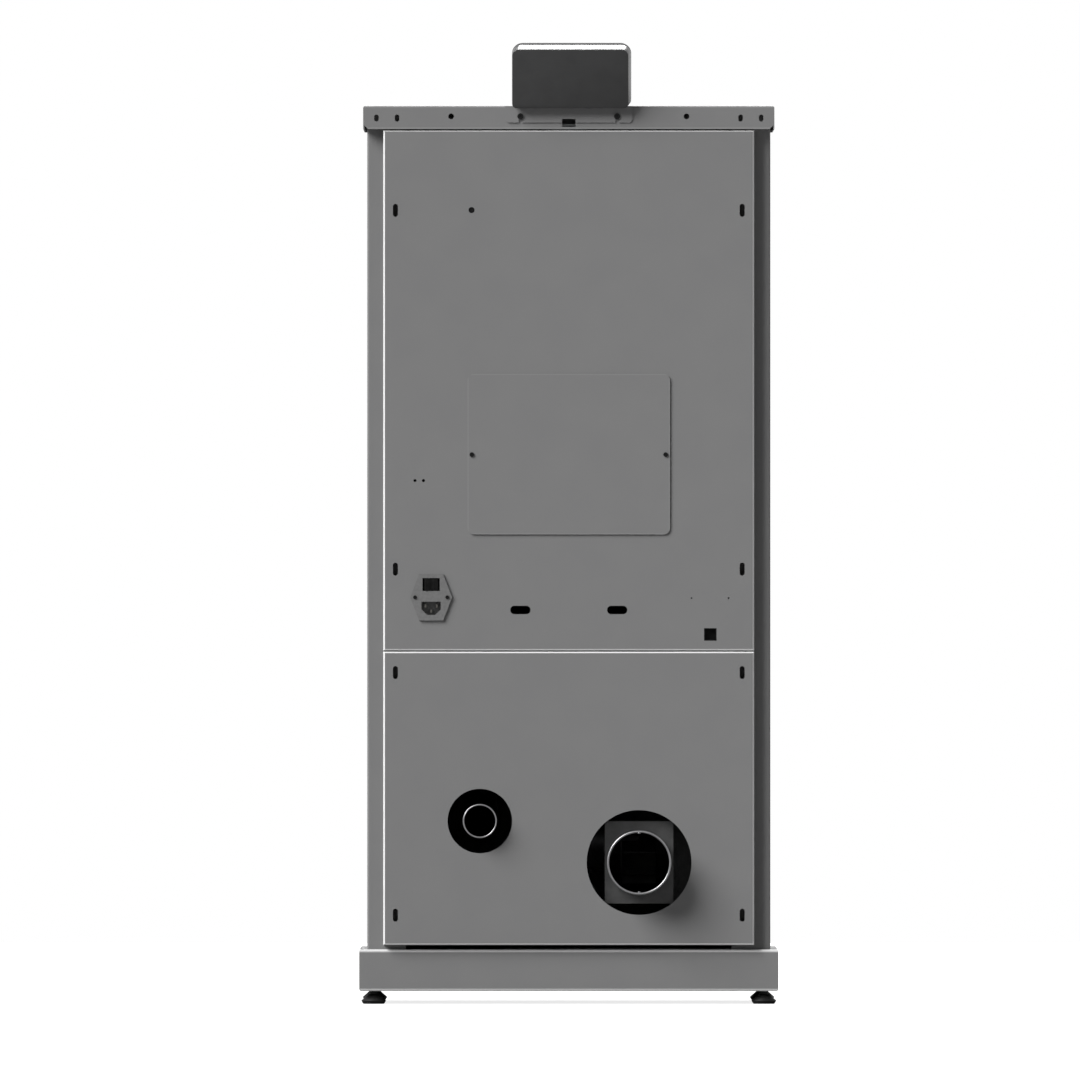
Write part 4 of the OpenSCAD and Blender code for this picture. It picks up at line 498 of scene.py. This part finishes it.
cover_node(["smoke_duct", "exhaust_housing"], speckled(
    "blacked_duct", duct_dark, duct_light, patch=(0.015, 4), grain=(0.001, 0.00004, 0.5), roughness=0.5))


# The flue spigot is a length of steel tube with a rolled lip, tacked at the top and the bottom of its seam.
# The air pipe ends in the same kind of lip.
flue_low, flue_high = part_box("flue_spigot")
flue_middle = (flue_low + flue_high) / 2
flue_radius = 0.04
lip_wall = 0.003
tack_size = Vector((0.0022, 0.0016, 0.0011))
intake_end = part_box("air_intake_pipe")[1].y
intake_middle = Vector((0.1103, intake_end, 0.2269))
intake_radius = 0.0212
intake_wall = 0.002
lip_spare = 0.00005
wall_sides = 16
tube_steps = 96


def rolled_tube(name, middle, outer, thick, inner_end, outer_end):
    build = bmesh.new()
    section = bmesh.ops.create_circle(build, segments=wall_sides, radius=thick / 2)["verts"]
    start = Vector((middle.x + outer - thick / 2, outer_end - thick / 2, middle.z))
    for point in section:
        pull = inner_end + thick - outer_end if point.co.y < 0 else 0
        point.co += start + Vector((0, pull, 0))
    turned(build, middle, (0, 1, 0), tube_steps)
    return finished(name, build, rolled_steel)


spigot = rolled_tube("rolled_spigot", flue_middle, flue_radius, lip_wall, flue_low.y, flue_high.y)
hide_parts("flue_spigot")
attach(spigot, "cabinet")

tack_build = bmesh.new()
for up in (-1, 1):
    tack_place = Vector((flue_middle.x, flue_high.y - tack_size.y,
                         flue_middle.z + up * (flue_radius - lip_wall - tack_size.z / 4)))
    bmesh.ops.create_icosphere(tack_build, subdivisions=3, radius=1, matrix=Matrix.Translation(
        tack_place) @ Matrix.Diagonal((*tack_size, 1)))
tacks = finished("spigot_tacks", tack_build, rolled_steel)
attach(tacks, "cabinet")

intake_lip = rolled_tube("intake_lip", intake_middle, intake_radius + lip_spare, intake_wall + 2 * lip_spare,
                         intake_end - intake_wall / 2, intake_end + intake_wall / 2 + lip_spare)
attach(intake_lip, "cabinet")


# The firebox, the pipes above the fire and the smoke fan's wheel are steel in heat-proof black.
# Soot dulls them, and the burn pot and its holder are rough cast iron.
iron_black = (0.014, 0.014, 0.014, 1)
iron_grey = (0.04, 0.039, 0.038, 1)


def stove_black(name, grain, depth):
    finish, shader, where = plain_finish(name, roughness=0.7, metallic=0.3)
    soot = specks(finish, where, size=0.03, detail=5)
    coloured(finish, shader, between(finish, soot, iron_black, iron_grey))
    raised(finish, shader, specks(finish, where, grain, 4), distance=depth, strength=0.7)
    varied_gloss(finish, shader, specks(finish, where, size=0.02, detail=3), smooth=0.6, rough=0.8)
    return finish


sooted_steel = stove_black("sooted_steel", grain=0.0012, depth=0.00006)
cast_iron = stove_black("cast_iron", grain=0.0022, depth=0.0003)
cover_node(["firebox", "heat_pipes", "exhaust_impeller"], sooted_steel)
cover_node(["burn_pot", "pot_holder"], cast_iron)


# The lining is pressed vermiculite board, pale and flaky.
# The fire browns it in broad patches.
board_pale = (0.36, 0.33, 0.28, 1)
board_flake = (0.27, 0.245, 0.2, 1)
board_sooty = (0.16, 0.145, 0.125, 1)

board_finish, board_shader, board_where = plain_finish("vermiculite", roughness=0.92)
board_flakes = specks(board_finish, board_where, size=0.003, detail=5)
board_clean = between(board_finish, board_flakes, board_flake, board_pale)
board_soot = specks(board_finish, board_where, size=0.16, detail=3)
board_grain = specks(board_finish, board_where, size=0.0025, detail=5)
coloured(board_finish, board_shader, blended(board_finish, board_soot, board_clean, board_sooty))
raised(board_finish, board_shader, board_grain, distance=0.0006, strength=0.8)
cover_node(["firebox_lining"], board_finish)


# The window of the fire door is smoked ceramic glass with a black printed border.
# The border hides the rope and the clips behind it.
glass_smoke = (0.22, 0.21, 0.2, 1)
border_black = (0.003, 0.003, 0.003, 1)
border_width = 0.024
glass_low, glass_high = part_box("door_glass")

glass_finish, glass_shader, glass_where = plain_finish("ceramic_glass", roughness=0.05)
# The box is moved off the glass in depth, so that each of its four rims counts as an edge.
off_glass = Vector((0, 1, 0))
glass_border = fold_mask(glass_finish, glass_where, glass_low + off_glass, glass_high + off_glass,
                         border_width)
coloured(glass_finish, glass_shader, blended(glass_finish, glass_border, glass_smoke, border_black))
glass_smears = specks(glass_finish, glass_where, size=0.04, detail=4)
varied_gloss(glass_finish, glass_shader, glass_smears, smooth=0.02, rough=0.04)
glass_shader.inputs["Transmission Weight"].default_value = 0.92
cover_node(["door_glass"], glass_finish)


# The motors are enamelled, the room fan's wheel is pressed steel and the auger's bush is sintered bronze.
# The contact pins are plated, and the control board is green laminate.
enamel_dark = (0.03, 0.03, 0.032, 1)
enamel_light = (0.055, 0.055, 0.058, 1)
bronze_light = (0.46, 0.33, 0.14, 1)
bronze_dark = (0.3, 0.2, 0.08, 1)
pin_light = (0.12, 0.117, 0.108, 1)
pin_dark = (0.08, 0.078, 0.07, 1)
laminate_dark = (0.012, 0.07, 0.03, 1)
laminate_light = (0.02, 0.11, 0.05, 1)

cover_node(["auger_gearmotor", "exhaust_motor", "room_fan_motor"], speckled(
    "motor_enamel", enamel_dark, enamel_light, patch=(0.01, 4), grain=(0.001, 0.00005, 0.5),
    roughness=0.4, metallic=0.4))
cover_node(["room_fan_rotor"], bright_steel("pressed_blades", (2, 6, 6), roughness=0.4))
cover_node(["auger_bush"], bright_steel(
    "sintered_bronze", (4, 4, 4), roughness=0.38, light=bronze_light, dark=bronze_dark))
cover_node(["inlet_pins"], bright_steel(
    "plated_pins", (6, 1, 6), roughness=0.3, light=pin_light, dark=pin_dark))

laminate_finish, laminate_shader, laminate_where = plain_finish("board_laminate", roughness=0.4)
laminate_weave = specks(laminate_finish, laminate_where, size=0.0025, detail=1)
coloured(laminate_finish, laminate_shader, between(laminate_finish, laminate_weave, laminate_dark,
                                                   laminate_light, low=0.47, high=0.53))
laminate_grain = specks(laminate_finish, laminate_where, size=0.0015)
raised(laminate_finish, laminate_shader, laminate_grain, distance=0.00004, strength=0.4)
cover_node(["control_board"], laminate_finish)


# Braided glass-fibre rope seals the fire door and the hopper lid.
# The door's rope is one closed loop, pressed oval in its channel and bent round at the corners.
rope_pale = (0.11, 0.105, 0.1, 1)
rope_dark = (0.035, 0.033, 0.031, 1)
rope_width = 0.008
rope_bend = 0.014
rope_sides = 20
bend_steps = 10
rope_join = 0.0001
twists_per_metre = 160

rope_finish, rope_shader, rope_where = plain_finish("glass_rope", roughness=0.9)
rope_twist = rope_finish.node_tree.nodes.new("ShaderNodeTexWave")
rope_twist.bands_direction = "DIAGONAL"
rope_twist.inputs["Scale"].default_value = twists_per_metre
rope_twist.inputs["Distortion"].default_value = 1.5
rope_finish.node_tree.links.new(rope_where, rope_twist.inputs["Vector"])
coloured(rope_finish, rope_shader, between(rope_finish, rope_twist.outputs["Fac"], rope_dark, rope_pale))
raised(rope_finish, rope_shader, rope_twist.outputs["Fac"], distance=0.0006, strength=0.8)
cover_node(["lid_gasket"], rope_finish)

rope_low, rope_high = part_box("door_gasket")
rope_reach = (rope_high - rope_low) / 2 - Vector((rope_width / 2, 0, rope_width / 2))
rope_at = (rope_low + rope_high) / 2 - Vector((rope_reach.x, 0, 0))
rope_oval = Matrix.Diagonal((rope_width / 2, (rope_high.y - rope_low.y) / 2, 1, 1))
rope_runs = ((0, 1, rope_reach.z), (1, 0, 2 * rope_reach.x), (0, -1, 2 * rope_reach.z),
             (-1, 0, 2 * rope_reach.x), (0, 1, rope_reach.z))

rope_build = bmesh.new()
bmesh.ops.create_circle(rope_build, segments=rope_sides, radius=1,
                        matrix=Matrix.Translation(rope_at) @ rope_oval)
rope_end = rope_build.edges[:]
for turn, (along, up, run) in enumerate(rope_runs):
    last_run = turn == len(rope_runs) - 1
    bends = (turn > 0) + (not last_run)
    step = Vector((along, 0, up)) * (run - bends * rope_bend)
    grown = bmesh.ops.extrude_edge_only(rope_build, edges=rope_end)["geom"]
    grown_points = [part for part in grown if isinstance(part, bmesh.types.BMVert)]
    bmesh.ops.translate(rope_build, vec=step, verts=grown_points)
    rope_end = [part for part in grown if isinstance(part, bmesh.types.BMEdge)
                and all(point in grown_points for point in part.verts)]
    rope_at = rope_at + step
    if not last_run:
        pivot = rope_at + Vector((up, 0, -along)) * rope_bend
        bent = bmesh.ops.spin(rope_build, geom=rope_end, cent=pivot, axis=(0, 1, 0), dvec=(0, 0, 0),
                              angle=math.pi / 2, steps=bend_steps, use_merge=False, use_duplicate=False)
        rope_end = [part for part in bent["geom_last"] if isinstance(part, bmesh.types.BMEdge)]
        rope_at = pivot + Vector((along, 0, up)) * rope_bend
bmesh.ops.remove_doubles(rope_build, verts=rope_build.verts, dist=rope_join)
door_rope = finished("door_rope", rope_build, rope_finish)
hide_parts("door_gasket")
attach(door_rope, "door")
